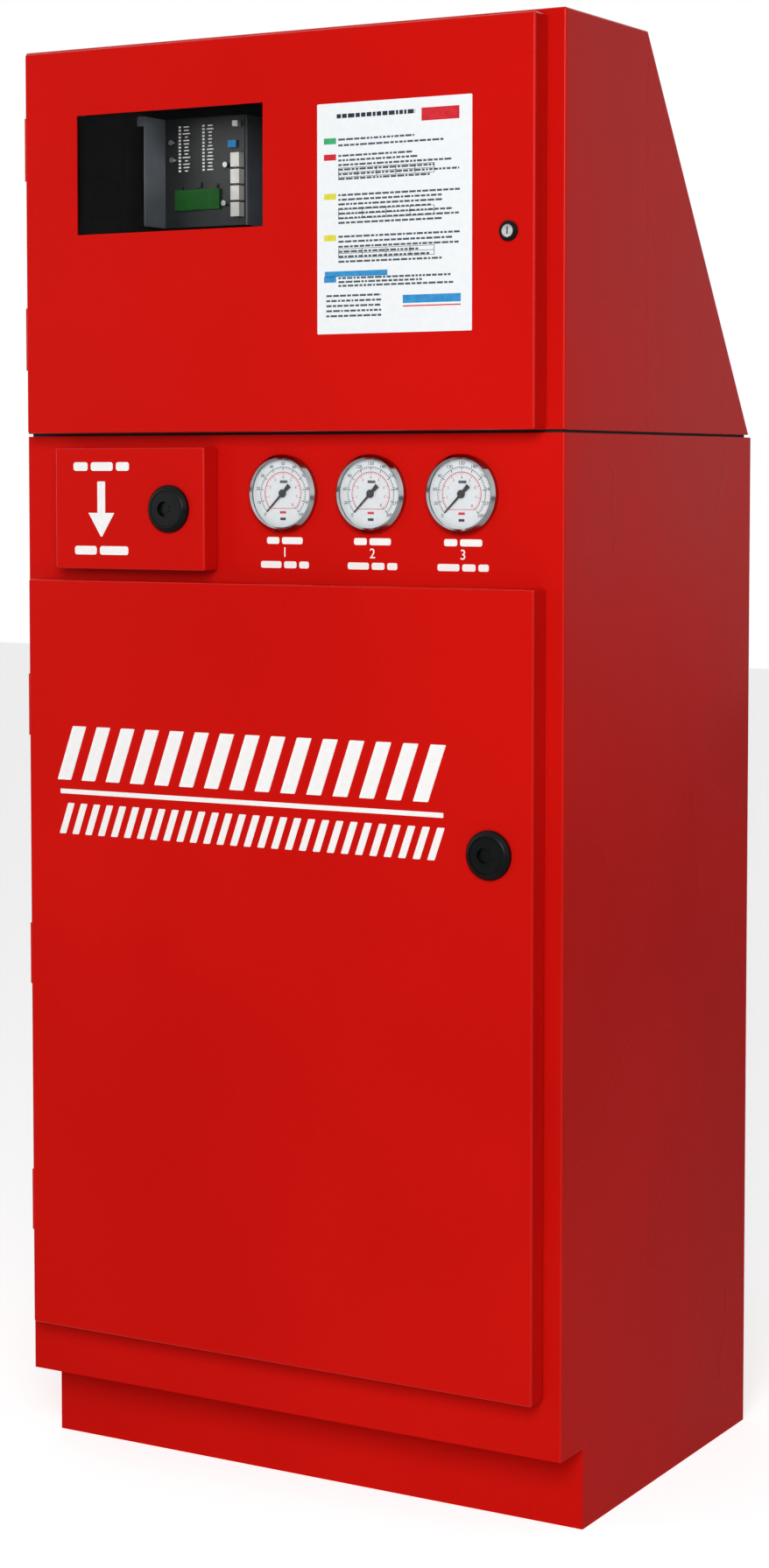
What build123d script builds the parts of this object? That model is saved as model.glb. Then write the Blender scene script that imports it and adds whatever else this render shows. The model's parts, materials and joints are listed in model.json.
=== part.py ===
from build123d import *
import os
from math import cos, hypot, radians, sin

os.makedirs("parts", exist_ok=True)

# Sprinkler valve cabinet, millimetres, Z up, front towards -Y.
# The origin is on the floor, in the middle of the four floor anchors.

# Cabinet shell
cabinet_width = 782.0
cabinet_depth = 556.0
lower_height = 1334.5
upper_height = 492.0
upper_depth = 226.0
hood_step = 7.5
seam = 3.5
sheet = 2.0
fold_radius = 3.0
seam_round = 1.2
toe_height = 100.0
toe_recess = 60.0
rear_flange = 20.0
gasket_inset = 5.0
gasket_width = 15.0
hood_flange = 22.0
wire_hole_radius = 30.0

# Doors
door_gap = 3.5
door_depth = 29.1
door_reveal = 23.5
door_lip = 15.0
frame_overlap = 22.5
skirt_height = 72.4
gauge_band = 184.3
upper_door_drop = 7.5
door_gasket_width = 10.0
door_gasket_inset = 2.5
seat_clearance = 0.3
lever_door_margin = 67.8
lever_door_lift = 14.4
lever_door_width = 228.5
lever_door_height = 154.8
lever_door_overlap = 15.0

# Window in the control door
window_width = 279.4
window_height = 150.4
window_left = 81.3
window_drop = 82.7
pane_border = 12.0
pane_thickness = 3.0

# Hinges
main_hinge_count = 3
control_hinge_count = 2
lever_hinge_count = 1
hinge_length = 80.0
hinge_offset = 5.5
knuckle_radius = 4.5
pin_radius = 2.5
pin_clearance = 0.05
knuckle_gap = 0.3
moving_knuckle = 29.4
leaf_thickness = 2.0
leaf_width = 9.0
leaf_margin = 0.5
door_leaf_reach = 20.0

# Quarter-turn latches and key lock
latch_radius = 30.0
latch_proud = 9.0
latch_bevel = 5.0
latch_round = 3.0
latch_rotor_radius = 21.8
latch_recess_clearance = 0.5
latch_neck_radius = 19.5
latch_shaft_radius = 10.0
latch_floor = 3.0
latch_socket_radius = 9.5
latch_socket_offset = 3.0
latch_boss_radius = 4.0
running_clearance = 0.05
cam_thickness = 3.5
cam_width = 18.0
cam_clearance = 1.6
cam_reach = 8.0
main_latch_inset = 58.1
main_latch_level = 0.6755
lever_latch_inset = 52.4
lock_ring_radius = 12.0
lock_proud = 5.0
lock_body_radius = 9.0
lock_plug_radius = 7.5
lock_plug_recess = 0.6
lock_inset = 33.9
lock_drop = 252.5
keyway_width = 2.0
keyway_height = 8.0
keyway_depth = 5.0

# Gauges
gauge_pitch = 126.0
gauge_inset = 135.3
gauge_drop = 72.7
bezel_radius = 48.15
bezel_depth = 12.0
bezel_bevel = 4.0
bezel_lip = 42.0
gauge_case_radius = 44.0
gauge_case_depth = 55.0
gauge_stem_radius = 7.0
gauge_stem_length = 12.0
dial_thickness = 1.0
dial_front = 4.0
lens_thickness = 2.0
lens_front = 10.0
needle_length = 32.0
needle_tail = 14.0
needle_width = 3.0
tail_width = 6.0
needle_thickness = 0.8
needle_hub_radius = 5.0
needle_shaft_radius = 1.5
needle_lift = 1.4
zero_angle = 225.0

# Lever compartment and manual release
compartment_border = 15.0
compartment_depth = 90.0
release_x_inset = 40.0
release_z_drop = 33.0
release_stem_radius = 6.0
release_stem_clearance = 1.0
release_lever_length = 78.0
release_lever_width = 18.0
release_lever_thickness = 6.0
release_lever_standoff = 38.0
release_grip_radius = 8.0
release_valve_radius = 20.0
release_valve_length = 56.0
release_port_radius = 10.0
release_port_length = 10.0
release_bore_depth = 16.0

# Floor pan, base rails and anchors
pan_flange = 25.0
rail_leg = 50.0
rail_thickness = 5.0
rail_end_gap = 6.0
anchor_inset_x = 28.0
anchor_inset_y = 78.0
anchor_radius = 7.0
anchor_access_radius = 18.0

# Water pipes
pipe_radius = 44.45
pipe_wall = 5.5
pipe_bend = 114.0
riser_inset = 271.0
riser_y = 80.0
inlet_height = 260.0
outlet_height = 1240.0
stub_length = 70.0
groove_from_end = 15.9
groove_width = 8.7
groove_depth = 2.0
drain_groove_depth = 1.6
pipe_hole_clearance = 4.0
drain_radius = 30.15
drain_wall = 3.9
drain_bend = 76.0
drain_height = 165.0
drain_offset = 135.0

# Riser lengths from the floor upwards
riser_start = 400.0
control_valve_length = 110.0
preaction_valve_length = 250.0
check_valve_length = 140.0
coupling_width = 46.0
coupling_radius = 58.0
coupling_clearance = 0.3
coupling_lug_reach = 74.0
coupling_lug_width = 26.0
coupling_lug_height = 34.0
coupled_margin = 2.0

# Control valve
control_body_radius = 58.0
control_neck_radius = 16.0
control_neck_reach = 125.0
control_bore_radius = 39.0
control_disc_clearance = 0.8
control_disc_thickness = 6.0
control_shoulder = 4.0
neck_root = 2.0
stem_end_clearance = 1.0
control_stem_radius = 6.0
control_stem_socket = 8.0
control_lever_length = 160.0
control_lever_width = 22.0
control_lever_thickness = 6.0
control_lever_gap = 5.0
notch_plate_radius = 30.0
notch_plate_thickness = 3.0

# Preaction valve
valve_belly_radius = 80.0
belly_start = 0.36
belly_end = 0.66
cover_level = 0.51
body_shoulder = 12.0
valve_shoulder_radius = 62.0
valve_cover_radius = 56.0
valve_cover_thickness = 14.0
valve_front_reach = 90.0
cover_bolt_count = 6
cover_bolt_circle = 46.0
cover_bolt_radius = 6.5
cover_bolt_height = 6.0
cover_dome_radius = 30.0
cover_dome_height = 8.0
drain_port_rise = 75.0
drain_port_reach = 95.0
trim_port_radius = 15.0
trim_port_reach = 90.0
trim_port_rise = 130.0

# Check valve
check_belly_radius = 62.0
check_port_rise = 45.0
check_port_reach = 75.0

# Drain valve
drain_body_radius = 34.0
drain_body_below = 55.0
drain_body_above = 35.0
bonnet_radius = 20.0
bonnet_height = 30.0
drain_stem_radius = 5.0
drain_stem_length = 30.0
drain_stem_socket = 12.0
wheel_radius = 34.0
wheel_rim = 7.0
wheel_thickness = 9.0
wheel_spokes = 4
wheel_spoke_width = 7.0

# Trim
tube_radius = 6.0
tube_bend = 30.0
manifold_y = 90.0
manifold_depth = 30.0
manifold_height = 30.0
manifold_margin = 24.0
manifold_post_radius = 8.0
manifold_post_inset = 50.0
solenoid_shift = 60.0
solenoid_body = 40.0
solenoid_body_reach = 60.0
solenoid_coil_radius = 20.0
solenoid_coil_height = 52.0
switch_width = 50.0
switch_depth = 60.0
switch_height = 90.0
switch_stem_radius = 8.0
switch_stem_height = 14.0

# Air compressor
compressor_inset = 176.0
compressor_y = 90.0
compressor_length = 220.0
compressor_depth = 170.0
compressor_foot_radius = 14.0
compressor_foot_height = 18.0
compressor_base = 10.0
motor_radius = 58.0
motor_length = 130.0
motor_sink = 4.0
pump_width = 80.0
pump_depth = 90.0
pump_height = 150.0
fin_count = 5
fin_thickness = 4.0
fin_pitch = 10.0
fin_reach = 10.0

# Release control board in the upper enclosure
plate_margin = 60.0
plate_standoff = 6.0
plate_stud_radius = 6.0
plate_stud_inset = 30.0
bracket_left = 158.0
bracket_lift = 14.6
bracket_height = 139.5
bracket_wing = 48.0
bracket_front = 40.0
bracket_lip = 10.0
bracket_lip_height = 12.0
bracket_foot = 20.0
board_width = 122.0
board_thickness = 2.0
lcd_width = 68.0
lcd_height = 26.0
lcd_thickness = 4.0
lcd_left = 17.5
lcd_rise = 21.5
terminal_width = 13.0
terminal_height = 18.0
terminal_depth = 12.0
terminal_pitch = 21.0
terminal_count = 4
terminal_rise = 19.0
terminal_margin = 1.0
battery_width = 151.0
battery_depth = 65.0
battery_height = 94.0
battery_gap = 6.0
battery_inset = 331.0
battery_y_gap = 70.0
battery_terminal = 6.0
battery_terminal_inset = 12.0

# Places worked out from the sizes above
side_x = cabinet_width / 2
inner_x = side_x - sheet
half_sheet = sheet / 2
front_y = -cabinet_depth / 2
back_y = cabinet_depth / 2
frame_back = front_y + sheet
back_inside = back_y - sheet
fold_relief = fold_radius - sheet
toe_y = front_y + toe_recess
upper_bottom = lower_height + seam
upper_back = front_y + upper_depth
cabinet_height = upper_bottom + upper_height
hood_depth = cabinet_depth - upper_depth - hood_step
door_back = front_y - door_gap
door_front = door_back - door_depth
door_x = side_x - door_reveal
opening_x = door_x - frame_overlap
main_door_bottom = toe_height + skirt_height
main_door_top = lower_height - gauge_band
main_opening_bottom = main_door_bottom + frame_overlap
main_opening_top = main_door_top - frame_overlap
control_door_top = cabinet_height - upper_door_drop
control_opening_bottom = upper_bottom + frame_overlap
control_opening_top = control_door_top - frame_overlap
window_x = -door_x + window_left
window_z = control_door_top - window_drop - window_height
lever_door_left = lever_door_margin - side_x
lever_door_right = lever_door_left + lever_door_width
lever_door_bottom = main_door_top + lever_door_lift
lever_door_top = lever_door_bottom + lever_door_height
lever_door_middle = (lever_door_bottom + lever_door_top) / 2
gauge_z = lower_height - gauge_drop
gauge_places = [(side_x - gauge_inset - gauge_pitch * step, gauge_z) for step in (2, 1, 0)]
compartment_back = frame_back + compartment_depth
release_x = lever_door_left + lever_door_overlap + release_x_inset
release_z = lever_door_top - lever_door_overlap - release_z_drop
anchor_spacing_x = 2 * (inner_x - anchor_inset_x)
anchor_spacing_y = cabinet_depth - 2 * anchor_inset_y
riser_x = riser_inset - side_x
preaction_bottom = riser_start + control_valve_length
check_bottom = preaction_bottom + preaction_valve_length
outlet_start = check_bottom + check_valve_length
drain_x = riser_x + drain_offset
drain_z = preaction_bottom + drain_port_rise


def front_plane(y):
    """Sketch plane that faces the front at the given depth, with local x, y on X, Z."""
    return Plane.XZ.offset(-y)


def outline(points, plane):
    """Closed straight-sided face on a plane."""
    with BuildSketch(plane) as face:
        with BuildLine():
            Polyline(*points, close=True)
        make_face()
    return face.sketch


def folded(points, plane=Plane.XY):
    """Section of a folded sheet, from points on the middle of its thickness."""
    with BuildLine() as middle:
        FilletPolyline(*points, radius=fold_radius - half_sheet)
    with BuildSketch(plane) as section:
        trace(middle.line, line_width=sheet)
    return section.sketch


def rectangle(left, right, bottom, top, plane):
    """Rectangle between four edges on a plane."""
    with BuildSketch(plane) as face:
        with Locations(((left + right) / 2, (bottom + top) / 2)):
            Rectangle(right - left, top - bottom)
    return face.sketch


def disc(x, y, radius, plane):
    """Round face on a plane."""
    with BuildSketch(plane) as face:
        with Locations((x, y)):
            Circle(radius)
    return face.sketch


def profile(points, origin, direction):
    """Half section of a turned piece: each point is a radius and a distance along direction."""
    along = Vector(*direction)
    radial = Vector(0, 0, 1) if abs(along.Z) < 0.5 else Vector(1, 0, 0)
    return outline(points, Plane(origin=origin, x_dir=radial, z_dir=radial.cross(along)))


def pipe_path(points, bend):
    """Route of a pipe, straight runs joined by bends."""
    with BuildLine() as route:
        FilletPolyline(*points, radius=bend)
    return route.line


def keep(piece, name):
    """Label a finished piece and write it."""
    piece.part.label = name
    export_step(piece.part, f"parts/{name}.step")


# Side panels: one folded sheet each, with the front stile and a rear flange
panel_section = folded(
    [
        (opening_x, front_y + half_sheet),
        (side_x - half_sheet, front_y + half_sheet),
        (side_x - half_sheet, back_y - half_sheet),
        (side_x - rear_flange, back_y - half_sheet),
    ]
)
with BuildPart() as right_side_panel:
    extrude(panel_section, amount=lower_height)
    toe_notch = rectangle(front_y, toe_y, 0, toe_height, Plane.YZ)
    extrude(toe_notch, amount=side_x, mode=Mode.SUBTRACT)
keep(right_side_panel, "right_side_panel")

left_blank = mirror(right_side_panel.part, about=Plane.YZ)
pipe_holes = (
    (inlet_height, pipe_radius),
    (outlet_height, pipe_radius),
    (drain_height, drain_radius),
)
with BuildPart() as left_side_panel:
    add(left_blank)
    for height, radius in pipe_holes:
        hole = disc(riser_y, height, radius + pipe_hole_clearance, Plane.YZ.offset(-side_x))
        extrude(hole, amount=sheet, mode=Mode.SUBTRACT)
keep(left_side_panel, "left_side_panel")

# Gauge panel, with the lever door's opening and three gauge holes
gauge_hole_radius = gauge_case_radius + seat_clearance
with BuildPart() as gauge_panel:
    with BuildSketch(front_plane(frame_back)):
        add(rectangle(-opening_x, opening_x, main_opening_top, lower_height, Plane.XY))
        add(
            rectangle(
                lever_door_left + lever_door_overlap,
                lever_door_right - lever_door_overlap,
                lever_door_bottom + lever_door_overlap,
                lever_door_top - lever_door_overlap,
                Plane.XY,
            ),
            mode=Mode.SUBTRACT,
        )
        with Locations(*gauge_places):
            Circle(gauge_hole_radius, mode=Mode.SUBTRACT)
    extrude(amount=sheet)
keep(gauge_panel, "gauge_panel")

# Rail under the main door
with BuildPart() as bottom_rail:
    extrude(
        rectangle(-opening_x, opening_x, toe_height, main_opening_bottom, front_plane(frame_back)),
        amount=sheet,
    )
keep(bottom_rail, "bottom_rail")

# Top plate of the lower cabinet, with the hole for the wiring
wire_hole_x = side_x / 2
wire_hole_y = front_y + upper_depth / 2
with BuildPart() as top_plate:
    with BuildSketch(Plane.XY.offset(lower_height - sheet)):
        add(
            rectangle(
                -inner_x, inner_x, frame_back + fold_relief, back_inside - fold_relief, Plane.XY
            )
        )
        with Locations((wire_hole_x, wire_hole_y)):
            Circle(wire_hole_radius, mode=Mode.SUBTRACT)
    extrude(amount=sheet)
keep(top_plate, "top_plate")

# Back panel between the rear flanges
back_x = side_x - rear_flange
with BuildPart() as back_panel:
    extrude(rectangle(-back_x, back_x, 0, lower_height, front_plane(back_y)), amount=sheet)
keep(back_panel, "back_panel")

# Floor pan with turned-up sides and access holes over the anchors
pan_section = folded(
    [
        (half_sheet - inner_x, toe_height + pan_flange),
        (half_sheet - inner_x, toe_height + half_sheet),
        (inner_x - half_sheet, toe_height + half_sheet),
        (inner_x - half_sheet, toe_height + pan_flange),
    ],
    front_plane(back_inside - fold_relief),
)
with BuildPart() as floor_pan:
    extrude(pan_section, amount=cabinet_depth - 2 * fold_radius)
    with BuildSketch(Plane.XY.offset(toe_height)):
        with GridLocations(anchor_spacing_x, anchor_spacing_y, 2, 2):
            Circle(anchor_access_radius)
    extrude(amount=sheet, mode=Mode.SUBTRACT)
keep(floor_pan, "floor_pan")

# Recessed plate at the toe
with BuildPart() as toe_kick:
    extrude(rectangle(-inner_x, inner_x, 0, toe_height, front_plane(toe_y + sheet)), amount=sheet)
keep(toe_kick, "toe_kick")

# Angle rails on the floor, with the anchor holes
rail_start = toe_y + sheet + rail_end_gap
rail_length = back_inside - rail_end_gap - rail_start
rail_inner = inner_x - rail_leg
with BuildPart() as base_rails:
    rail = outline(
        [
            (rail_inner, 0),
            (inner_x, 0),
            (inner_x, rail_leg),
            (inner_x - rail_thickness, rail_leg),
            (inner_x - rail_thickness, rail_thickness),
            (rail_inner, rail_thickness),
        ],
        front_plane(rail_start + rail_length),
    )
    extrude(rail, amount=rail_length)
    mirror(about=Plane.YZ)
    with BuildSketch(Plane.XY):
        with GridLocations(anchor_spacing_x, anchor_spacing_y, 2, 2):
            Circle(anchor_radius)
    extrude(amount=rail_thickness, mode=Mode.SUBTRACT)
keep(base_rails, "base_rails")

# Box behind the lever door
compartment_left = lever_door_left - sheet
compartment_right = lever_door_right + sheet
compartment_bottom = lever_door_bottom - sheet
compartment_top = lever_door_top + sheet
with BuildPart() as lever_compartment:
    shell = rectangle(
        compartment_left,
        compartment_right,
        compartment_bottom,
        compartment_top,
        front_plane(compartment_back),
    )
    extrude(shell, amount=compartment_depth)
    hollow = rectangle(
        lever_door_left,
        lever_door_right,
        lever_door_bottom,
        lever_door_top,
        front_plane(compartment_back - sheet),
    )
    extrude(hollow, amount=compartment_depth - sheet, mode=Mode.SUBTRACT)
    stem_hole = disc(
        release_x,
        release_z,
        release_stem_radius + release_stem_clearance,
        front_plane(compartment_back),
    )
    extrude(stem_hole, amount=sheet, mode=Mode.SUBTRACT)
keep(lever_compartment, "lever_compartment")

# Upper enclosure: welded box with a door opening in its front
with BuildPart() as control_enclosure:
    extrude(
        rectangle(-side_x, side_x, front_y, upper_back, Plane.XY.offset(upper_bottom)),
        amount=upper_height,
    )
    front_edges = edges().group_by(Axis.Y)[0]
    top_edges = edges().group_by(Axis.Z)[-1].filter_by(Axis.Y)
    fillet(front_edges + top_edges, fold_radius)
    fillet(edges().group_by(Axis.Y)[-1].filter_by(Axis.Z), seam_round)
    extrude(
        rectangle(-inner_x, inner_x, frame_back, upper_back - sheet,
                  Plane.XY.offset(upper_bottom + sheet)),
        amount=upper_height - 2 * sheet,
        mode=Mode.SUBTRACT,
    )
    extrude(
        rectangle(-opening_x, opening_x, control_opening_bottom, control_opening_top,
                  front_plane(frame_back)),
        amount=sheet,
        mode=Mode.SUBTRACT,
    )
    extrude(
        disc(wire_hole_x, wire_hole_y, wire_hole_radius, Plane.XY.offset(upper_bottom)),
        amount=sheet,
        mode=Mode.SUBTRACT,
    )
keep(control_enclosure, "control_enclosure")

# Sloping hood behind the upper enclosure
slope_length = hypot(hood_depth, upper_height)
hood_inner_depth = hood_depth - sheet * slope_length / upper_height
hood_inner_height = upper_height - sheet * slope_length / hood_depth
hood_back = upper_back + hood_depth
with BuildPart() as rear_hood:
    wedge = outline(
        [(upper_back, upper_bottom), (hood_back, upper_bottom), (upper_back, cabinet_height)],
        Plane.YZ.offset(-side_x),
    )
    extrude(wedge, amount=cabinet_width)
    fillet([edge for edge in edges() if abs(edge.length - slope_length) < sheet], fold_radius)
    inner_wedge = outline(
        [
            (upper_back, upper_bottom),
            (upper_back + hood_inner_depth, upper_bottom),
            (upper_back, upper_bottom + hood_inner_height),
        ],
        Plane.YZ.offset(-inner_x),
    )
    extrude(inner_wedge, amount=2 * inner_x, mode=Mode.SUBTRACT)
    flange_back = upper_back + hood_inner_depth - sheet
    extrude(
        rectangle(-inner_x, inner_x, upper_back, flange_back, Plane.XY.offset(upper_bottom)),
        amount=sheet,
    )
    extrude(
        rectangle(-side_x + hood_flange, side_x - hood_flange, upper_back,
                  flange_back - hood_flange, Plane.XY.offset(upper_bottom)),
        amount=sheet,
        mode=Mode.SUBTRACT,
    )
keep(rear_hood, "rear_hood")

# Dark gasket strip in the seam between the lower and the upper cabinet
gasket_x = side_x - gasket_inset
gasket_front = front_y + gasket_inset
gasket_back = hood_back - gasket_inset
with BuildPart() as seam_gasket:
    with BuildSketch(Plane.XY.offset(lower_height)):
        add(rectangle(-gasket_x, gasket_x, gasket_front, gasket_back, Plane.XY))
        add(
            rectangle(
                gasket_width - gasket_x,
                gasket_x - gasket_width,
                gasket_front + gasket_width,
                gasket_back - gasket_width,
                Plane.XY,
            ),
            mode=Mode.SUBTRACT,
        )
    extrude(amount=seam)
keep(seam_gasket, "seam_gasket")

# Plate on studs at the back of the upper enclosure
enclosure_back = upper_back - sheet
plate_back = enclosure_back - plate_standoff
plate_front = plate_back - sheet
plate_x = side_x - plate_margin
plate_bottom = upper_bottom + plate_margin
plate_top = cabinet_height - plate_margin
with BuildPart() as mounting_plate:
    extrude(
        rectangle(-plate_x, plate_x, plate_bottom, plate_top, front_plane(plate_back)),
        amount=sheet,
    )
    with BuildSketch(front_plane(enclosure_back)):
        with Locations((0, (plate_bottom + plate_top) / 2)):
            with GridLocations(
                2 * (plate_x - plate_stud_inset), plate_top - plate_bottom - 2 * plate_stud_inset,
                2, 2,
            ):
                Circle(plate_stud_radius)
    extrude(amount=plate_standoff)
keep(mounting_plate, "mounting_plate")

# Folded bracket that carries the control board behind the window
wing_x = bracket_left - side_x
wing_front = front_y + bracket_front
tray_y = wing_front + bracket_wing
bracket_bottom = window_z + bracket_lift
board_left = wing_x + sheet
tray_right = board_left + board_width + sheet
with BuildPart() as release_bracket:
    wing = folded(
        [
            (wing_x + half_sheet, wing_front),
            (wing_x + half_sheet, plate_front - half_sheet),
            (wing_x - bracket_foot, plate_front - half_sheet),
        ],
        Plane.XY.offset(bracket_bottom),
    )
    tray = folded(
        [
            (board_left + half_sheet, plate_front),
            (board_left + half_sheet, tray_y + half_sheet),
            (tray_right - half_sheet, tray_y + half_sheet),
            (tray_right - half_sheet, plate_front - half_sheet),
            (tray_right - bracket_foot, plate_front - half_sheet),
        ],
        Plane.XY.offset(bracket_bottom),
    )
    lip = rectangle(wing_x - bracket_lip, wing_x + sheet, wing_front, wing_front + sheet,
                    Plane.XY.offset(bracket_bottom + bracket_height - bracket_lip_height))
    extrude(wing, amount=bracket_height)
    extrude(lip, amount=bracket_lip_height)
    extrude(tray, amount=bracket_height)
keep(release_bracket, "release_bracket")

# Control board with its display and terminal blocks
board_front = tray_y - board_thickness
board_top = bracket_bottom + bracket_height
with BuildPart() as release_board:
    extrude(
        rectangle(board_left, board_left + board_width, bracket_bottom, board_top,
                  front_plane(tray_y)),
        amount=board_thickness,
    )
keep(release_board, "release_board")

with BuildPart() as lcd_display:
    lcd_x = board_left + lcd_left
    lcd_z = bracket_bottom + lcd_rise
    extrude(
        rectangle(lcd_x, lcd_x + lcd_width, lcd_z, lcd_z + lcd_height, front_plane(board_front)),
        amount=lcd_thickness,
    )
keep(lcd_display, "lcd_display")

with BuildPart() as terminal_blocks:
    terminal_x = board_left + board_width - terminal_margin - terminal_width / 2
    with BuildSketch(front_plane(board_front)):
        for step in range(terminal_count):
            with Locations((terminal_x, bracket_bottom + terminal_rise + terminal_pitch * step)):
                Rectangle(terminal_width, terminal_height)
    extrude(amount=terminal_depth)
keep(terminal_blocks, "terminal_blocks")

# Two sealed batteries on the enclosure's floor
with BuildPart() as standby_batteries:
    battery_floor = upper_bottom + sheet
    battery_y = front_y + battery_y_gap + battery_depth / 2
    for step in range(2):
        battery_left = side_x - battery_inset + step * (battery_width + battery_gap)
        with BuildSketch(Plane.XY.offset(battery_floor)):
            with Locations((battery_left + battery_width / 2, battery_y)):
                Rectangle(battery_width, battery_depth)
        extrude(amount=battery_height)
        with BuildSketch(Plane.XY.offset(battery_floor + battery_height)):
            with Locations((battery_left + battery_width / 2, battery_y)):
                with GridLocations(battery_width - 2 * battery_terminal_inset, 0, 2, 1):
                    Rectangle(battery_terminal, battery_terminal)
        extrude(amount=battery_terminal)
keep(standby_batteries, "standby_batteries")


# Pressure gauges
def gauge_circles(radius, y):
    """One circle at each gauge."""
    with BuildSketch(front_plane(y)) as circles:
        with Locations(*gauge_places):
            Circle(radius)
    return circles.sketch


dial_back = front_y - dial_front + dial_thickness
case_back = dial_back + gauge_case_depth
with BuildPart() as gauge_cases:
    extrude(gauge_circles(gauge_case_radius, case_back), amount=gauge_case_depth)
    stems = gauge_circles(gauge_stem_radius, case_back + gauge_stem_length)
    extrude(stems, amount=gauge_stem_length)
keep(gauge_cases, "gauge_cases")

with BuildPart() as gauge_dials:
    extrude(gauge_circles(gauge_case_radius - seat_clearance, dial_back), amount=dial_thickness)
    shaft_holes = gauge_circles(needle_shaft_radius + running_clearance, dial_back)
    extrude(shaft_holes, amount=dial_thickness, mode=Mode.SUBTRACT)
keep(gauge_dials, "gauge_dials")

with BuildPart() as gauge_bezels:
    for x, z in gauge_places:
        ring = profile(
            [
                (gauge_hole_radius, 0),
                (bezel_radius, 0),
                (bezel_radius, bezel_depth - bezel_bevel),
                (bezel_radius - bezel_bevel, bezel_depth),
                (bezel_lip, lens_front),
                (gauge_hole_radius, lens_front),
            ],
            (x, front_y, z),
            (0, -1, 0),
        )
        revolve(ring, axis=Axis((x, front_y, z), (0, -1, 0)))
keep(gauge_bezels, "gauge_bezels")

with BuildPart() as gauge_lenses:
    lens_back = front_y - lens_front + lens_thickness
    extrude(gauge_circles(gauge_case_radius - seat_clearance, lens_back), amount=lens_thickness)
keep(gauge_lenses, "gauge_lenses")

needle_back = front_y - dial_front - needle_lift
pointer = (sin(radians(zero_angle)), cos(radians(zero_angle)))
across = (pointer[1], -pointer[0])
for name, (x, z) in zip(("air", "supply", "line"), gauge_places):

    def needle_point(along, sideways):
        """Place on the needle, from its centre along the pointer and across it."""
        return (
            x + along * pointer[0] + sideways * across[0],
            z + along * pointer[1] + sideways * across[1],
        )

    blade = outline(
        [
            needle_point(needle_length, needle_width / 4),
            needle_point(needle_length, -needle_width / 4),
            needle_point(0, -needle_width / 2),
            needle_point(-needle_tail, -tail_width / 2),
            needle_point(-needle_tail, tail_width / 2),
            needle_point(0, needle_width / 2),
        ],
        front_plane(needle_back),
    )
    with BuildPart() as gauge_needle:
        extrude(blade, amount=needle_thickness)
        hub = disc(x, z, needle_hub_radius, front_plane(needle_back + needle_thickness / 2))
        extrude(hub, amount=2 * needle_thickness)
        shaft = disc(x, z, needle_shaft_radius, front_plane(dial_back - running_clearance))
        extrude(shaft, amount=dial_back - running_clearance - needle_back + needle_thickness)
    keep(gauge_needle, f"{name}_pressure_needle")


# Doors
def door_pan(left, right, bottom, top):
    """Folded door, open at the back inside its lips."""
    with BuildPart() as pan:
        extrude(rectangle(left, right, bottom, top, front_plane(door_back)), amount=door_depth)
        corner_edges = pan.edges().filter_by(Axis.Y)
        face_edges = pan.edges().group_by(Axis.Y)[0]
        fillet(corner_edges + face_edges, fold_radius)
        extrude(
            rectangle(left + sheet, right - sheet, bottom + sheet, top - sheet,
                      front_plane(door_back - sheet)),
            amount=door_depth - 2 * sheet,
            mode=Mode.SUBTRACT,
        )
        extrude(
            rectangle(left + door_lip, right - door_lip, bottom + door_lip, top - door_lip,
                      front_plane(door_back)),
            amount=sheet,
            mode=Mode.SUBTRACT,
        )
    return pan.part


def door_gasket(left, right, bottom, top):
    """Soft strip on the lips of a door."""
    with BuildPart() as strip:
        with BuildSketch(front_plane(front_y - seat_clearance)):
            edge = door_gasket_inset
            add(rectangle(left + edge, right - edge, bottom + edge, top - edge, Plane.XY))
            edge = door_gasket_inset + door_gasket_width
            add(
                rectangle(left + edge, right - edge, bottom + edge, top - edge, Plane.XY),
                mode=Mode.SUBTRACT,
            )
        extrude(amount=door_gap - seat_clearance)
    return strip.part


main_edges = (-door_x, door_x, main_door_bottom, main_door_top)
control_edges = (-door_x, door_x, upper_bottom, control_door_top)
lever_edges = (lever_door_left, lever_door_right, lever_door_bottom, lever_door_top)
main_door_height = main_door_top - main_door_bottom
main_latch = (door_x - main_latch_inset, main_door_bottom + main_latch_level * main_door_height)
lever_latch = (lever_door_right - lever_latch_inset, lever_door_middle)
key_lock = (door_x - lock_inset, control_door_top - lock_drop)
neck_hole = latch_neck_radius + seat_clearance

main_pan = door_pan(*main_edges)
with BuildPart() as main_door:
    add(main_pan)
    extrude(disc(*main_latch, neck_hole, front_plane(door_front + sheet)), amount=sheet,
            mode=Mode.SUBTRACT)
keep(main_door, "main_door")

lever_pan = door_pan(*lever_edges)
with BuildPart() as lever_door:
    add(lever_pan)
    extrude(disc(*lever_latch, neck_hole, front_plane(door_front + sheet)), amount=sheet,
            mode=Mode.SUBTRACT)
keep(lever_door, "lever_door")

control_pan = door_pan(*control_edges)
with BuildPart() as control_door:
    add(control_pan)
    extrude(
        rectangle(window_x, window_x + window_width, window_z, window_z + window_height,
                  front_plane(door_front + sheet)),
        amount=sheet,
        mode=Mode.SUBTRACT,
    )
    extrude(
        disc(*key_lock, lock_body_radius + seat_clearance, front_plane(door_front + sheet)),
        amount=sheet,
        mode=Mode.SUBTRACT,
    )
keep(control_door, "control_door")

with BuildPart() as window_pane:
    extrude(
        rectangle(
            window_x - pane_border,
            window_x + window_width + pane_border,
            window_z - pane_border,
            window_z + window_height + pane_border,
            front_plane(door_front + sheet + pane_thickness),
        ),
        amount=pane_thickness,
    )
keep(window_pane, "window_pane")

for name, places in (("main", main_edges), ("control", control_edges), ("lever", lever_edges)):
    strip_part = door_gasket(*places)
    with BuildPart() as gasket:
        add(strip_part)
    keep(gasket, f"{name}_door_gasket")

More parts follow.
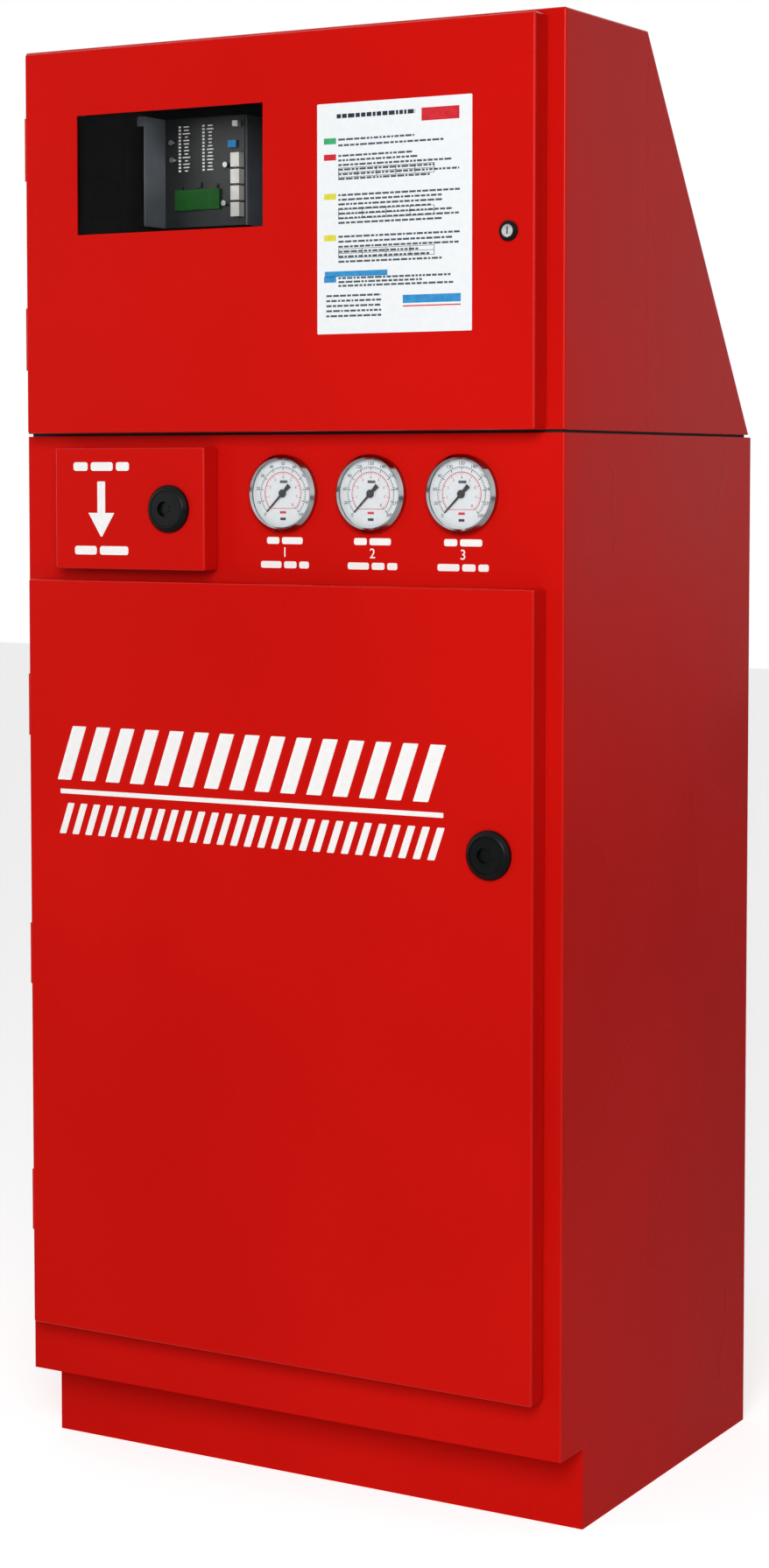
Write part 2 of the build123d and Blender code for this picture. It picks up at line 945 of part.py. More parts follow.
# Hinges: fixed leaves with pins on the frame, moving leaves on the doors
pivot_y = front_y - hinge_offset
hinge_rows = {
    "main": (-door_x - hinge_offset, main_door_bottom, main_door_top,
             main_hinge_count),
    "control": (-door_x - hinge_offset, upper_bottom, control_door_top,
                control_hinge_count),
    "lever": (lever_door_left - hinge_offset, lever_door_bottom, lever_door_top,
              lever_hinge_count),
}


def hinge_heights(bottom, top, count):
    """Bottom ends of a row of hinges, spread evenly over a door's edge."""
    pitch = (top - bottom) / count
    return [bottom + pitch * (step + 0.5) - hinge_length / 2 for step in range(count)]


end_knuckle = (hinge_length - moving_knuckle) / 2 - knuckle_gap
with BuildPart() as fixed_hinge_leaves:
    for pivot_x, bottom, top, count in hinge_rows.values():
        leaf_right = pivot_x - knuckle_radius - leaf_margin
        for z in hinge_heights(bottom, top, count):
            leaf = rectangle(leaf_right - leaf_width, leaf_right, front_y - leaf_thickness,
                             front_y, Plane.XY.offset(z))
            extrude(leaf, amount=hinge_length)
            for start in (z, z + hinge_length - end_knuckle):
                level = Plane.XY.offset(start)
                extrude(disc(pivot_x, pivot_y, knuckle_radius, level), amount=end_knuckle)
                web = rectangle(leaf_right - leaf_thickness, pivot_x, pivot_y, front_y, level)
                extrude(web, amount=end_knuckle)
            extrude(disc(pivot_x, pivot_y, pin_radius, Plane.XY.offset(z)), amount=hinge_length)
keep(fixed_hinge_leaves, "fixed_hinge_leaves")

for name, (pivot_x, bottom, top, count) in hinge_rows.items():
    with BuildPart() as door_leaves:
        door_edge = pivot_x + hinge_offset
        leaf_left = door_edge - leaf_thickness
        leaf_back = pivot_y - knuckle_radius - leaf_margin
        for z in hinge_heights(bottom, top, count):
            leaf = rectangle(leaf_left, door_edge, leaf_back - door_leaf_reach, leaf_back,
                             Plane.XY.offset(z))
            extrude(leaf, amount=hinge_length)
            middle = Plane.XY.offset(z + end_knuckle + knuckle_gap)
            extrude(rectangle(leaf_left, door_edge, leaf_back, pivot_y, middle),
                    amount=moving_knuckle)
            extrude(disc(pivot_x, pivot_y, knuckle_radius, middle), amount=moving_knuckle)
            extrude(disc(pivot_x, pivot_y, pin_radius + pin_clearance, middle),
                    amount=moving_knuckle, mode=Mode.SUBTRACT)
    keep(door_leaves, f"{name}_door_hinge_leaves")

# Quarter-turn latches, stored with their cams turned clear of the frame
cam_front = frame_back + cam_clearance
cam_back = cam_front + cam_thickness
latch_frame_edges = {
    "main": (main_latch, opening_x),
    "lever": (lever_latch, lever_door_right - lever_door_overlap),
}
for name, ((x, z), frame_edge) in latch_frame_edges.items():
    face = (x, door_front, z)
    outward = (0, -1, 0)
    neck_end = door_front - (door_back - seat_clearance)
    recess_radius = latch_rotor_radius + latch_recess_clearance
    housing = profile(
        [
            (latch_shaft_radius + running_clearance, latch_floor),
            (recess_radius, latch_floor),
            (recess_radius, latch_proud),
            (latch_radius - latch_bevel, latch_proud),
            (latch_radius, latch_proud - latch_bevel),
            (latch_radius, 0),
            (latch_neck_radius, 0),
            (latch_neck_radius, neck_end),
            (latch_shaft_radius + running_clearance, neck_end),
        ],
        face,
        outward,
    )
    with BuildPart() as latch_housing:
        revolve(housing, axis=Axis(face, outward))
        rim_edges = [
            edge
            for edge in latch_housing.edges().filter_by(GeomType.CIRCLE)
            if edge.radius > latch_radius - latch_bevel - seat_clearance
            and edge.center().Y < door_front - seat_clearance
        ]
        fillet(rim_edges, latch_round)
    keep(latch_housing, f"{name}_latch_housing")

    rotor_front = door_front - latch_proud + latch_recess_clearance
    rotor_back = door_front - latch_floor - latch_recess_clearance
    cam_length = frame_edge + cam_reach - x
    socket = disc(x - latch_socket_offset, z, latch_socket_radius, front_plane(rotor_back))
    boss = disc(x + latch_boss_radius / 2, z, latch_boss_radius, front_plane(rotor_back))
    with BuildPart() as latch_rotor:
        extrude(disc(x, z, latch_rotor_radius, front_plane(rotor_back)),
                amount=rotor_back - rotor_front)
        extrude(socket, amount=rotor_back - rotor_front, mode=Mode.SUBTRACT)
        extrude(boss, amount=rotor_back - rotor_front - latch_recess_clearance)
        extrude(disc(x, z, latch_shaft_radius, front_plane(cam_back)),
                amount=cam_back - rotor_back)
        extrude(rectangle(x - cam_width / 2, x + cam_width / 2, z - cam_length, z,
                          front_plane(cam_back)), amount=cam_thickness)
    keep(latch_rotor, f"{name}_latch_rotor")

# Key lock in the control door
lock_x, lock_z = key_lock
lock_face = (lock_x, door_front, lock_z)
lock_end = door_front - (door_back - seat_clearance)
lock_profile = profile(
    [
        (lock_plug_radius + running_clearance, lock_proud),
        (lock_ring_radius - lock_proud / 2, lock_proud),
        (lock_ring_radius, lock_proud / 2),
        (lock_ring_radius, 0),
        (lock_body_radius, 0),
        (lock_body_radius, lock_end),
        (lock_plug_radius + running_clearance, lock_end),
    ],
    lock_face,
    (0, -1, 0),
)
with BuildPart() as key_lock_housing:
    revolve(lock_profile, axis=Axis(lock_face, (0, -1, 0)))
keep(key_lock_housing, "key_lock_housing")

plug_front = door_front - lock_proud + lock_plug_recess
lock_cam_length = opening_x + 2 * cam_reach - lock_x
with BuildPart() as key_lock_plug:
    extrude(disc(lock_x, lock_z, lock_plug_radius, front_plane(cam_back)),
            amount=cam_back - plug_front)
    extrude(
        rectangle(lock_x - keyway_width / 2, lock_x + keyway_width / 2,
                  lock_z - keyway_height / 2, lock_z + keyway_height / 2,
                  front_plane(plug_front + keyway_depth)),
        amount=keyway_depth,
        mode=Mode.SUBTRACT,
    )
    extrude(
        rectangle(lock_x - lock_plug_radius, lock_x + lock_plug_radius, lock_z - lock_cam_length,
                  lock_z, front_plane(cam_back)),
        amount=cam_thickness,
    )
keep(key_lock_plug, "key_lock_plug")

# Manual release: valve behind the compartment and lever inside it
with BuildPart() as release_valve:
    valve_end = compartment_back + release_valve_length
    extrude(disc(release_x, release_z, release_valve_radius, front_plane(valve_end)),
            amount=release_valve_length)
    extrude(
        disc(release_x, release_z, release_stem_radius + running_clearance,
             front_plane(compartment_back + release_bore_depth)),
        amount=release_bore_depth,
        mode=Mode.SUBTRACT,
    )
    port_y = compartment_back + release_valve_length / 2
    port_end = release_z - release_valve_radius - release_port_length
    extrude(disc(release_x, port_y, release_port_radius, Plane.XY.offset(port_end)),
            amount=release_valve_radius + release_port_length - release_stem_radius - sheet)
keep(release_valve, "release_valve")

lever_back = compartment_back - sheet - release_lever_standoff
with BuildPart() as release_lever:
    stem_end = compartment_back + release_bore_depth - sheet
    extrude(disc(release_x, release_z, release_stem_radius, front_plane(stem_end)),
            amount=stem_end - lever_back)
    extrude(
        rectangle(release_x - release_lever_width / 2,
                  release_x + release_lever_length - release_grip_radius,
                  release_z - release_lever_width / 2, release_z + release_lever_width / 2,
                  front_plane(lever_back)),
        amount=release_lever_thickness,
    )
    grip_x = release_x + release_lever_length - release_grip_radius
    extrude(disc(grip_x, release_z, release_lever_width / 2, front_plane(lever_back)),
            amount=2 * release_lever_thickness)
keep(release_lever, "release_lever")


# Water pipes
def pipe_section(radius, wall, plane):
    """Ring-shaped section of a pipe."""
    with BuildSketch(plane) as section:
        Circle(radius)
        Circle(radius - wall, mode=Mode.SUBTRACT)
    return section.sketch


def end_groove(radius, depth, z):
    """Ring cut from a stub near its free end, at the cabinet's left."""
    return profile(
        [
            (radius - depth, groove_from_end),
            (radius + depth, groove_from_end),
            (radius + depth, groove_from_end + groove_width),
            (radius - depth, groove_from_end + groove_width),
        ],
        (stub_x, riser_y, z),
        (1, 0, 0),
    )


def stub_plane(x, z):
    """Sketch plane across a stub, facing right."""
    return Plane(origin=(x, riser_y, z), z_dir=(1, 0, 0))


stub_x = -side_x - stub_length
riser_turn_x = riser_x - pipe_bend
inlet_turn_z = inlet_height + pipe_bend
with BuildPart() as inlet_pipe:
    extrude(pipe_section(pipe_radius, pipe_wall, stub_plane(stub_x, inlet_height)),
            amount=riser_turn_x - stub_x)
    revolve(pipe_section(pipe_radius, pipe_wall, stub_plane(riser_turn_x, inlet_height)),
            axis=Axis((riser_turn_x, riser_y, inlet_turn_z), (0, -1, 0)), revolution_arc=90)
    extrude(pipe_section(pipe_radius, pipe_wall, Plane((riser_x, riser_y, inlet_turn_z))),
            amount=riser_start - inlet_turn_z)
    revolve(end_groove(pipe_radius, groove_depth, inlet_height),
            axis=Axis((stub_x, riser_y, inlet_height), (1, 0, 0)), mode=Mode.SUBTRACT)
keep(inlet_pipe, "inlet_pipe")

outlet_turn_z = outlet_height - pipe_bend
with BuildPart() as outlet_pipe:
    extrude(pipe_section(pipe_radius, pipe_wall, Plane((riser_x, riser_y, outlet_start))),
            amount=outlet_turn_z - outlet_start)
    revolve(pipe_section(pipe_radius, pipe_wall, Plane((riser_x, riser_y, outlet_turn_z))),
            axis=Axis((riser_turn_x, riser_y, outlet_turn_z), (0, -1, 0)), revolution_arc=90)
    extrude(pipe_section(pipe_radius, pipe_wall, stub_plane(stub_x, outlet_height)),
            amount=riser_turn_x - stub_x)
    revolve(end_groove(pipe_radius, groove_depth, outlet_height),
            axis=Axis((stub_x, riser_y, outlet_height), (1, 0, 0)), mode=Mode.SUBTRACT)
keep(outlet_pipe, "outlet_pipe")

# Control valve: lever-operated disc valve at the foot of the riser
control_z = riser_start + control_valve_length / 2
coupled_end = coupling_width / 2 + coupled_margin
neck_y = riser_y - control_neck_reach
with BuildPart() as control_valve_body:
    body = profile(
        [
            (control_bore_radius, 0),
            (pipe_radius, 0),
            (pipe_radius, coupled_end),
            (control_body_radius, coupled_end + control_shoulder),
            (control_body_radius, control_valve_length - coupled_end - control_shoulder),
            (pipe_radius, control_valve_length - coupled_end),
            (pipe_radius, control_valve_length),
            (control_bore_radius, control_valve_length),
        ],
        (riser_x, riser_y, riser_start),
        (0, 0, 1),
    )
    revolve(body, axis=Axis((riser_x, riser_y, riser_start), (0, 0, 1)))
    neck_start = riser_y - control_bore_radius - neck_root
    extrude(disc(riser_x, control_z, control_neck_radius, front_plane(neck_start)),
            amount=neck_start - neck_y)
    notch_plate_back = neck_y + notch_plate_thickness
    extrude(disc(riser_x, control_z, notch_plate_radius, front_plane(notch_plate_back)),
            amount=notch_plate_thickness)
    stem_bore_end = riser_y + control_bore_radius + control_stem_socket
    stem_bore = disc(riser_x, control_z, control_stem_radius + running_clearance,
                     front_plane(stem_bore_end))
    extrude(stem_bore, amount=stem_bore_end - neck_y, mode=Mode.SUBTRACT)
keep(control_valve_body, "control_valve_body")

with BuildPart() as control_valve_lever:
    stem_back = stem_bore_end - stem_end_clearance
    lever_y = neck_y - control_lever_gap
    extrude(disc(riser_x, control_z, control_stem_radius, front_plane(stem_back)),
            amount=stem_back - lever_y + control_lever_thickness)
    disc_radius = control_bore_radius - control_disc_clearance
    extrude(
        disc(riser_y, control_z, disc_radius, Plane.YZ.offset(riser_x - control_disc_thickness / 2)),
        amount=control_disc_thickness,
    )
    extrude(
        rectangle(riser_x - control_lever_width / 2, riser_x + control_lever_width / 2,
                  control_z - control_lever_width / 2, control_z + control_lever_length,
                  front_plane(lever_y)),
        amount=control_lever_thickness,
    )
keep(control_valve_lever, "control_valve_lever")

# Preaction valve: cast body with a bolted front cover
with BuildPart() as preaction_valve_body:
    base = (riser_x, riser_y, preaction_bottom)
    length = preaction_valve_length
    body = profile(
        [
            (0, 0),
            (pipe_radius, 0),
            (pipe_radius, coupled_end),
            (valve_shoulder_radius, coupled_end + body_shoulder),
            (valve_belly_radius, length * belly_start),
            (valve_belly_radius, length * belly_end),
            (valve_shoulder_radius, length - coupled_end - body_shoulder),
            (pipe_radius, length - coupled_end),
            (pipe_radius, length),
            (0, length),
        ],
        base,
        (0, 0, 1),
    )
    revolve(body, axis=Axis(base, (0, 0, 1)))
    valve_middle = preaction_bottom + length * cover_level
    extrude(disc(riser_x, valve_middle, valve_cover_radius, front_plane(riser_y)),
            amount=valve_front_reach)
    extrude(disc(riser_y, drain_z, drain_radius, Plane.YZ.offset(riser_x)),
            amount=drain_port_reach)
    trim_z = preaction_bottom + trim_port_rise
    extrude(disc(riser_y, trim_z, trim_port_radius, Plane.YZ.offset(riser_x - trim_port_reach)),
            amount=trim_port_reach)
keep(preaction_valve_body, "preaction_valve_body")

with BuildPart() as preaction_valve_cover:
    cover_back = riser_y - valve_front_reach
    cover_front = cover_back - valve_cover_thickness
    extrude(disc(riser_x, valve_middle, valve_cover_radius, front_plane(cover_back)),
            amount=valve_cover_thickness)
    extrude(disc(riser_x, valve_middle, cover_dome_radius, front_plane(cover_front)),
            amount=cover_dome_height)
    with BuildSketch(front_plane(cover_front)):
        with Locations((riser_x, valve_middle)):
            with PolarLocations(cover_bolt_circle, cover_bolt_count):
                RegularPolygon(cover_bolt_radius, 6)
    extrude(amount=cover_bolt_height)
keep(preaction_valve_cover, "preaction_valve_cover")

# Check valve above it
with BuildPart() as check_valve:
    base = (riser_x, riser_y, check_bottom)
    body = profile(
        [
            (0, 0),
            (pipe_radius, 0),
            (pipe_radius, coupled_end),
            (check_belly_radius, coupled_end + body_shoulder),
            (check_belly_radius, check_valve_length - coupled_end - body_shoulder),
            (pipe_radius, check_valve_length - coupled_end),
            (pipe_radius, check_valve_length),
            (0, check_valve_length),
        ],
        base,
        (0, 0, 1),
    )
    revolve(body, axis=Axis(base, (0, 0, 1)))
    check_port_z = check_bottom + check_port_rise
    extrude(disc(riser_y, check_port_z, trim_port_radius, Plane.YZ.offset(riser_x)),
            amount=check_port_reach)
keep(check_valve, "check_valve")

# Grooved couplings round the joints of the riser
with BuildPart() as grooved_couplings:
    for z in (riser_start, preaction_bottom, check_bottom, outlet_start):
        level = Plane.XY.offset(z - coupling_width / 2)
        extrude(disc(riser_x, riser_y, coupling_radius, level), amount=coupling_width)
        lug_level = Plane.XY.offset(z - coupling_lug_height / 2)
        extrude(
            rectangle(riser_x - coupling_lug_reach, riser_x + coupling_lug_reach,
                      riser_y - coupling_lug_width / 2, riser_y + coupling_lug_width / 2, lug_level),
            amount=coupling_lug_height,
        )
        extrude(disc(riser_x, riser_y, pipe_radius + coupling_clearance, level),
                amount=coupling_width, mode=Mode.SUBTRACT)
keep(grooved_couplings, "grooved_couplings")

# Drain: angle valve, handwheel and pipe out through the left side
drain_bottom = drain_z - drain_body_below
drain_body_top = drain_z + drain_body_above
bonnet_top = drain_body_top + bonnet_height
with BuildPart() as drain_valve_body:
    extrude(disc(drain_x, riser_y, drain_body_radius, Plane.XY.offset(drain_bottom)),
            amount=drain_body_below + drain_body_above)
    inlet_face = riser_x + drain_port_reach
    extrude(disc(riser_y, drain_z, drain_radius, Plane.YZ.offset(inlet_face)),
            amount=drain_x - inlet_face)
    extrude(disc(drain_x, riser_y, bonnet_radius, Plane.XY.offset(drain_body_top)),
            amount=bonnet_height)
    extrude(
        disc(drain_x, riser_y, drain_stem_radius + running_clearance,
             Plane.XY.offset(bonnet_top - drain_stem_socket)),
        amount=drain_stem_socket,
        mode=Mode.SUBTRACT,
    )
keep(drain_valve_body, "drain_valve_body")

with BuildPart() as drain_valve_handwheel:
    stem_foot = bonnet_top - drain_stem_socket + stem_end_clearance
    wheel_bottom = bonnet_top + drain_stem_length - wheel_thickness
    extrude(disc(drain_x, riser_y, drain_stem_radius, Plane.XY.offset(stem_foot)),
            amount=wheel_bottom + wheel_thickness - stem_foot)
    with BuildSketch(Plane.XY.offset(wheel_bottom)):
        with Locations((drain_x, riser_y)):
            Circle(wheel_radius)
            Circle(wheel_radius - wheel_rim, mode=Mode.SUBTRACT)
            for step in range(wheel_spokes // 2):
                Rectangle(2 * (wheel_radius - wheel_rim / 2), wheel_spoke_width,
                          rotation=360 / wheel_spokes * step)
    extrude(amount=wheel_thickness)
keep(drain_valve_handwheel, "drain_valve_handwheel")

drain_turn_x = drain_x - drain_bend
drain_turn_z = drain_height + drain_bend
with BuildPart() as drain_pipe:
    extrude(pipe_section(drain_radius, drain_wall, Plane((drain_x, riser_y, drain_turn_z))),
            amount=drain_bottom - drain_turn_z)
    revolve(pipe_section(drain_radius, drain_wall, Plane((drain_x, riser_y, drain_turn_z))),
            axis=Axis((drain_turn_x, riser_y, drain_turn_z), (0, 1, 0)), revolution_arc=90)
    extrude(pipe_section(drain_radius, drain_wall, stub_plane(stub_x, drain_height)),
            amount=drain_turn_x - stub_x)
    revolve(end_groove(drain_radius, drain_groove_depth, drain_height),
            axis=Axis((stub_x, riser_y, drain_height), (1, 0, 0)), mode=Mode.SUBTRACT)
keep(drain_pipe, "drain_pipe")

# Trim piping: manifold on posts from the back panel, three gauge lines,
# the line to the check valve and the release line
manifold_z = check_port_z
manifold_top = manifold_z + manifold_height / 2
manifold_left = gauge_places[0][0] - manifold_margin
manifold_right = gauge_places[-1][0] + manifold_margin
manifold_front = manifold_y - manifold_depth / 2
manifold_back = manifold_y + manifold_depth / 2
gauge_stem_end = case_back + gauge_stem_length
check_face = riser_x + check_port_reach
with BuildPart() as trim_piping:
    extrude(
        rectangle(manifold_left, manifold_right, manifold_z - manifold_height / 2,
                  manifold_top, front_plane(manifold_back)),
        amount=manifold_depth,
    )
    for post_x in (manifold_left + manifold_post_inset, manifold_right - manifold_post_inset):
        extrude(disc(post_x, manifold_z, manifold_post_radius, front_plane(back_inside)),
                amount=back_inside - manifold_back)
    for x, z in gauge_places:
        line = pipe_path(
            [(x, gauge_stem_end, z), (x, manifold_y, z), (x, manifold_y, manifold_top)], tube_bend
        )
        sweep(disc(x, z, tube_radius, Plane.XZ.offset(-gauge_stem_end)), path=line)
    extrude(disc(riser_y, manifold_z, tube_radius, Plane.YZ.offset(check_face)),
            amount=manifold_left - check_face)
    release_line = pipe_path(
        [(release_x, port_y, port_end), (release_x, port_y, trim_z), (release_x, riser_y, trim_z),
         (riser_x - trim_port_reach, riser_y, trim_z)],
        tube_bend,
    )
    sweep(disc(release_x, port_y, tube_radius, Plane.XY.offset(port_end)), path=release_line)
keep(trim_piping, "trim_piping")

# Solenoid valve on the front of the manifold
with BuildPart() as solenoid_valve:
    solenoid_x = manifold_left + solenoid_shift
    solenoid_front = manifold_front - solenoid_body_reach
    solenoid_top = manifold_z + solenoid_body / 2
    extrude(
        rectangle(solenoid_x - solenoid_body / 2, solenoid_x + solenoid_body / 2,
                  manifold_z - solenoid_body / 2, solenoid_top, front_plane(manifold_front)),
        amount=solenoid_body_reach,
    )
    extrude(
        disc(solenoid_x, solenoid_front + solenoid_coil_radius, solenoid_coil_radius,
             Plane.XY.offset(solenoid_top)),
        amount=solenoid_coil_height,
    )
keep(solenoid_valve, "solenoid_valve")

# Pressure switches on top of the manifold, between the gauge lines
with BuildPart() as pressure_switches:
    for step in range(2):
        switch_x = gauge_places[step][0] + gauge_pitch / 2
        extrude(disc(switch_x, manifold_y, switch_stem_radius, Plane.XY.offset(manifold_top)),
                amount=switch_stem_height)
        extrude(
            rectangle(switch_x - switch_width / 2, switch_x + switch_width / 2,
                      manifold_y - switch_depth / 2, manifold_y + switch_depth / 2,
                      Plane.XY.offset(manifold_top + switch_stem_height)),
            amount=switch_height,
        )
keep(pressure_switches, "pressure_switches")

# Air compressor on the floor pan
compressor_x = side_x - compressor_inset
compressor_floor = toe_height + sheet
base_bottom = compressor_floor + compressor_foot_height
base_top = base_bottom + compressor_base
with BuildPart() as air_compressor:
    with BuildSketch(Plane.XY.offset(compressor_floor)):
        with Locations((compressor_x, compressor_y)):
            with GridLocations(compressor_length - 3 * compressor_foot_radius,
                               compressor_depth - 3 * compressor_foot_radius, 2, 2):
                Circle(compressor_foot_radius)
    extrude(amount=compressor_foot_height)
    with BuildSketch(Plane.XY.offset(base_bottom)):
        with Locations((compressor_x, compressor_y)):
            Rectangle(compressor_length, compressor_depth)
    extrude(amount=compressor_base)
    motor_start = compressor_x + compressor_length / 2 - motor_length
    motor_z = base_top + motor_radius - motor_sink
    extrude(disc(compressor_y, motor_z, motor_radius, Plane.YZ.offset(motor_start)),
            amount=motor_length)
    pump_x = compressor_x - compressor_length / 2 + pump_width / 2
    with BuildSketch(Plane.XY.offset(base_top)):
        with Locations((pump_x, compressor_y)):
            Rectangle(pump_width, pump_depth)
    extrude(amount=pump_height)
    extrude(disc(compressor_y, motor_z, motor_radius / 2, Plane.YZ.offset(pump_x)),
            amount=motor_start - pump_x)
    for step in range(fin_count):
        fin_z = base_top + pump_height - fin_thickness - fin_pitch * step
        with BuildSketch(Plane.XY.offset(fin_z)):
            with Locations((pump_x, compressor_y)):
                Rectangle(pump_width, pump_depth + 2 * fin_reach)
        extrude(amount=fin_thickness)
keep(air_compressor, "air_compressor")
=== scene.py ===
# %% [markdown]
# A red sprinkler valve cabinet, dressed around its CAD frame. The solids already
# have their true size and place, so this lesson gives them their finishes, adds
# the printed marks, the dial scales and the small parts of the control board, and
# sets a camera and soft studio lamps at the photograph's viewpoint.

# %% Load the frame
import json
import math
import random

import bpy
from mathutils import Matrix, Vector


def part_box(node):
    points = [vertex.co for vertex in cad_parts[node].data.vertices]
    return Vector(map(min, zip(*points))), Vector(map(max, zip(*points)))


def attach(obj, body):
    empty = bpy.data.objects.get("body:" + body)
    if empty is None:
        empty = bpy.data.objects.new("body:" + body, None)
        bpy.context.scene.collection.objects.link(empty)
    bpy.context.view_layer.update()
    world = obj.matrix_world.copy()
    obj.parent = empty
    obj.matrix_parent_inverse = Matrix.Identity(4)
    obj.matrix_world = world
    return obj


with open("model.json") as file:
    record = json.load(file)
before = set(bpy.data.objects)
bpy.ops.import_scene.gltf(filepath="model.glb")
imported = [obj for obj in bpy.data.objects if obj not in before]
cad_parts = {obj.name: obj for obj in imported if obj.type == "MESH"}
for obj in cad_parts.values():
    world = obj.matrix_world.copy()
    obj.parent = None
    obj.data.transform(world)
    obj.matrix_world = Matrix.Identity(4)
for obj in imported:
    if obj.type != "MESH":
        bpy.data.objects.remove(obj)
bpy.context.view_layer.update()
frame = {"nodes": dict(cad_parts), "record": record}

# %% [markdown]
# The camera stands to the right of the cabinet at chest height and looks slightly
# down. Its place and lens were fitted to the edges of the doors and of the side
# panel. The picture's optical centre lies above its middle, so a small shift moves
# the frame down without tilting the upright edges.

# %% Camera
IMAGE_HEIGHT = 1791
FOCAL_PIXELS = 3418.0
OPTICAL_CENTRE_Y = 754.9
SENSOR = 36.0
CAMERA_PLACE = (1.9722, -3.4377, 1.2845)
CAMERA_DOWN = 3.553
CAMERA_TURN = 30.017
bpy.ops.object.camera_add(
    location=CAMERA_PLACE,
    rotation=(math.radians(90 - CAMERA_DOWN), 0, math.radians(CAMERA_TURN)),
)
camera = bpy.context.object
camera.data.sensor_width = SENSOR
camera.data.lens = FOCAL_PIXELS / IMAGE_HEIGHT * SENSOR
camera.data.shift_y = (OPTICAL_CENTRE_Y - IMAGE_HEIGHT / 2) / IMAGE_HEIGHT
bpy.context.scene.camera = camera
bpy.context.scene.view_settings.view_transform = "Standard"
print("lens", round(camera.data.lens, 2), "shift", round(camera.data.shift_y, 4))

# %% [markdown]
# Every finish is built from nodes. Small helpers keep the cells short: one turns a
# hex colour into linear light, one adds a node with its settings and its links in
# one line, and one starts a material from its shader.

# %% Colour and node helpers
def linear(code):
    """Linear colour of an sRGB hex code."""
    channels = [int(code[i : i + 2], 16) / 255 for i in (1, 3, 5)]
    curve = [c / 12.92 if c <= 0.04045 else ((c + 0.055) / 1.055) ** 2.4 for c in channels]
    return (*curve, 1.0)


def add_node(tree, kind, inputs=None, **settings):
    """Add a node; inputs maps socket names to values or to sockets to link from."""
    node = tree.nodes.new(kind)
    for key, value in settings.items():
        setattr(node, key, value)
    for key, value in (inputs or {}).items():
        if isinstance(value, bpy.types.NodeSocket):
            tree.links.new(value, node.inputs[key])
        else:
            node.inputs[key].default_value = value
    return node


def new_finish(name, roughness, metallic=0.0, **sockets):
    """Material with one shader; extra keywords set its sockets by their lower-case names."""
    material = bpy.data.materials.new(name)
    material.use_nodes = True
    shader = material.node_tree.nodes["Principled BSDF"]
    shader.inputs["Roughness"].default_value = roughness
    shader.inputs["Metallic"].default_value = metallic
    for key, value in sockets.items():
        shader.inputs[key.replace("_", " ").title().replace("Ior", "IOR")].default_value = value
    return material, material.node_tree, shader


print("white is", [round(v, 2) for v in linear("#FFFFFF")])

# %% [markdown]
# Real surfaces are never all one colour. Patterns sit on Object coordinates, so they
# keep their real size and stay on their piece when it moves. The same noise can feed
# the colour, the bump and the roughness, as dirt and wear do.

# %% Pattern helpers
def object_noise(tree, size_mm, detail, stretch=(1, 1, 1)):
    """Noise on Object coordinates whose blobs are about size_mm across."""
    place = add_node(tree, "ShaderNodeTexCoord")
    mapping = add_node(tree, "ShaderNodeMapping",
                       {"Vector": place.outputs["Object"], "Scale": stretch})
    return add_node(tree, "ShaderNodeTexNoise",
                    {"Vector": mapping.outputs["Vector"], "Scale": 1000 / size_mm,
                     "Detail": detail})


RAMP_LOW = 0.35
RAMP_HIGH = 0.65
NOISE_LOW = 0.2
NOISE_HIGH = 0.8


def two_tone(tree, shader, factor, dark, light, low=RAMP_LOW, high=RAMP_HIGH):
    """Colour that drifts between two hex codes with a pattern."""
    ramp = add_node(tree, "ShaderNodeValToRGB", {"Fac": factor})
    ramp.color_ramp.elements[0].position = low
    ramp.color_ramp.elements[1].position = high
    ramp.color_ramp.elements[0].color = linear(dark)
    ramp.color_ramp.elements[1].color = linear(light)
    tree.links.new(ramp.outputs["Color"], shader.inputs["Base Color"])


def relief(tree, shader, height, depth_mm):
    """Bump of a real depth in millimetres."""
    bump = add_node(tree, "ShaderNodeBump",
                    {"Height": height, "Distance": depth_mm / 1000, "Strength": 1.0})
    tree.links.new(bump.outputs["Normal"], shader.inputs["Normal"])


def vary_roughness(tree, shader, factor, low, high):
    """Roughness that drifts between two values with a pattern."""
    span = add_node(tree, "ShaderNodeMapRange",
                    {"Value": factor, "From Min": NOISE_LOW, "From Max": NOISE_HIGH,
                     "To Min": low, "To Max": high}, interpolation_type="SMOOTHERSTEP")
    tree.links.new(span.outputs["Result"], shader.inputs["Roughness"])


print("colour ramp from", RAMP_LOW, "to", RAMP_HIGH)

# %% [markdown]
# The cabinet is folded steel in gloss red powder coat. Baked powder flows into a
# faint orange peel, and wide thin sheets are never quite flat, so reflections drift
# slowly over the doors. The real peel is about 2 mm; it is drawn at 6 mm so that it
# still shows. A low specular level with a red tint keeps the white room from greying
# the red. Folded edges catch the light, so wherever the surface turns away from the
# three main directions the gloss rises. The enclosure's inside is painted shade: its
# material asks where a point lies, and anything inside the middle of the sheet's
# thickness is painted black to stand in for the shade inside the box.

# %% Red powder coat
RED_DEEP = "#C00F0B"
RED_LIGHT = "#DA1710"
RED_GLOSS = "#FF8078"
# Black painted on the enclosure's inside as painted shade, where the box is dark.
ENCLOSURE_PAINTED_SHADE = "#060606"
DRIFT_MM = 420
WAVE_MM = 260
PEEL_MM = 6
PEEL_SHARE = 0.012
WAVE_DEPTH_MM = 1.2
FLAT_NORMAL = 0.97
FOLD_NORMAL = 0.8
FLAT_GLOSS = 0.05
FOLD_GLOSS = 1.0
SMOOTHEST = 0.22
ROUGHEST = 0.34


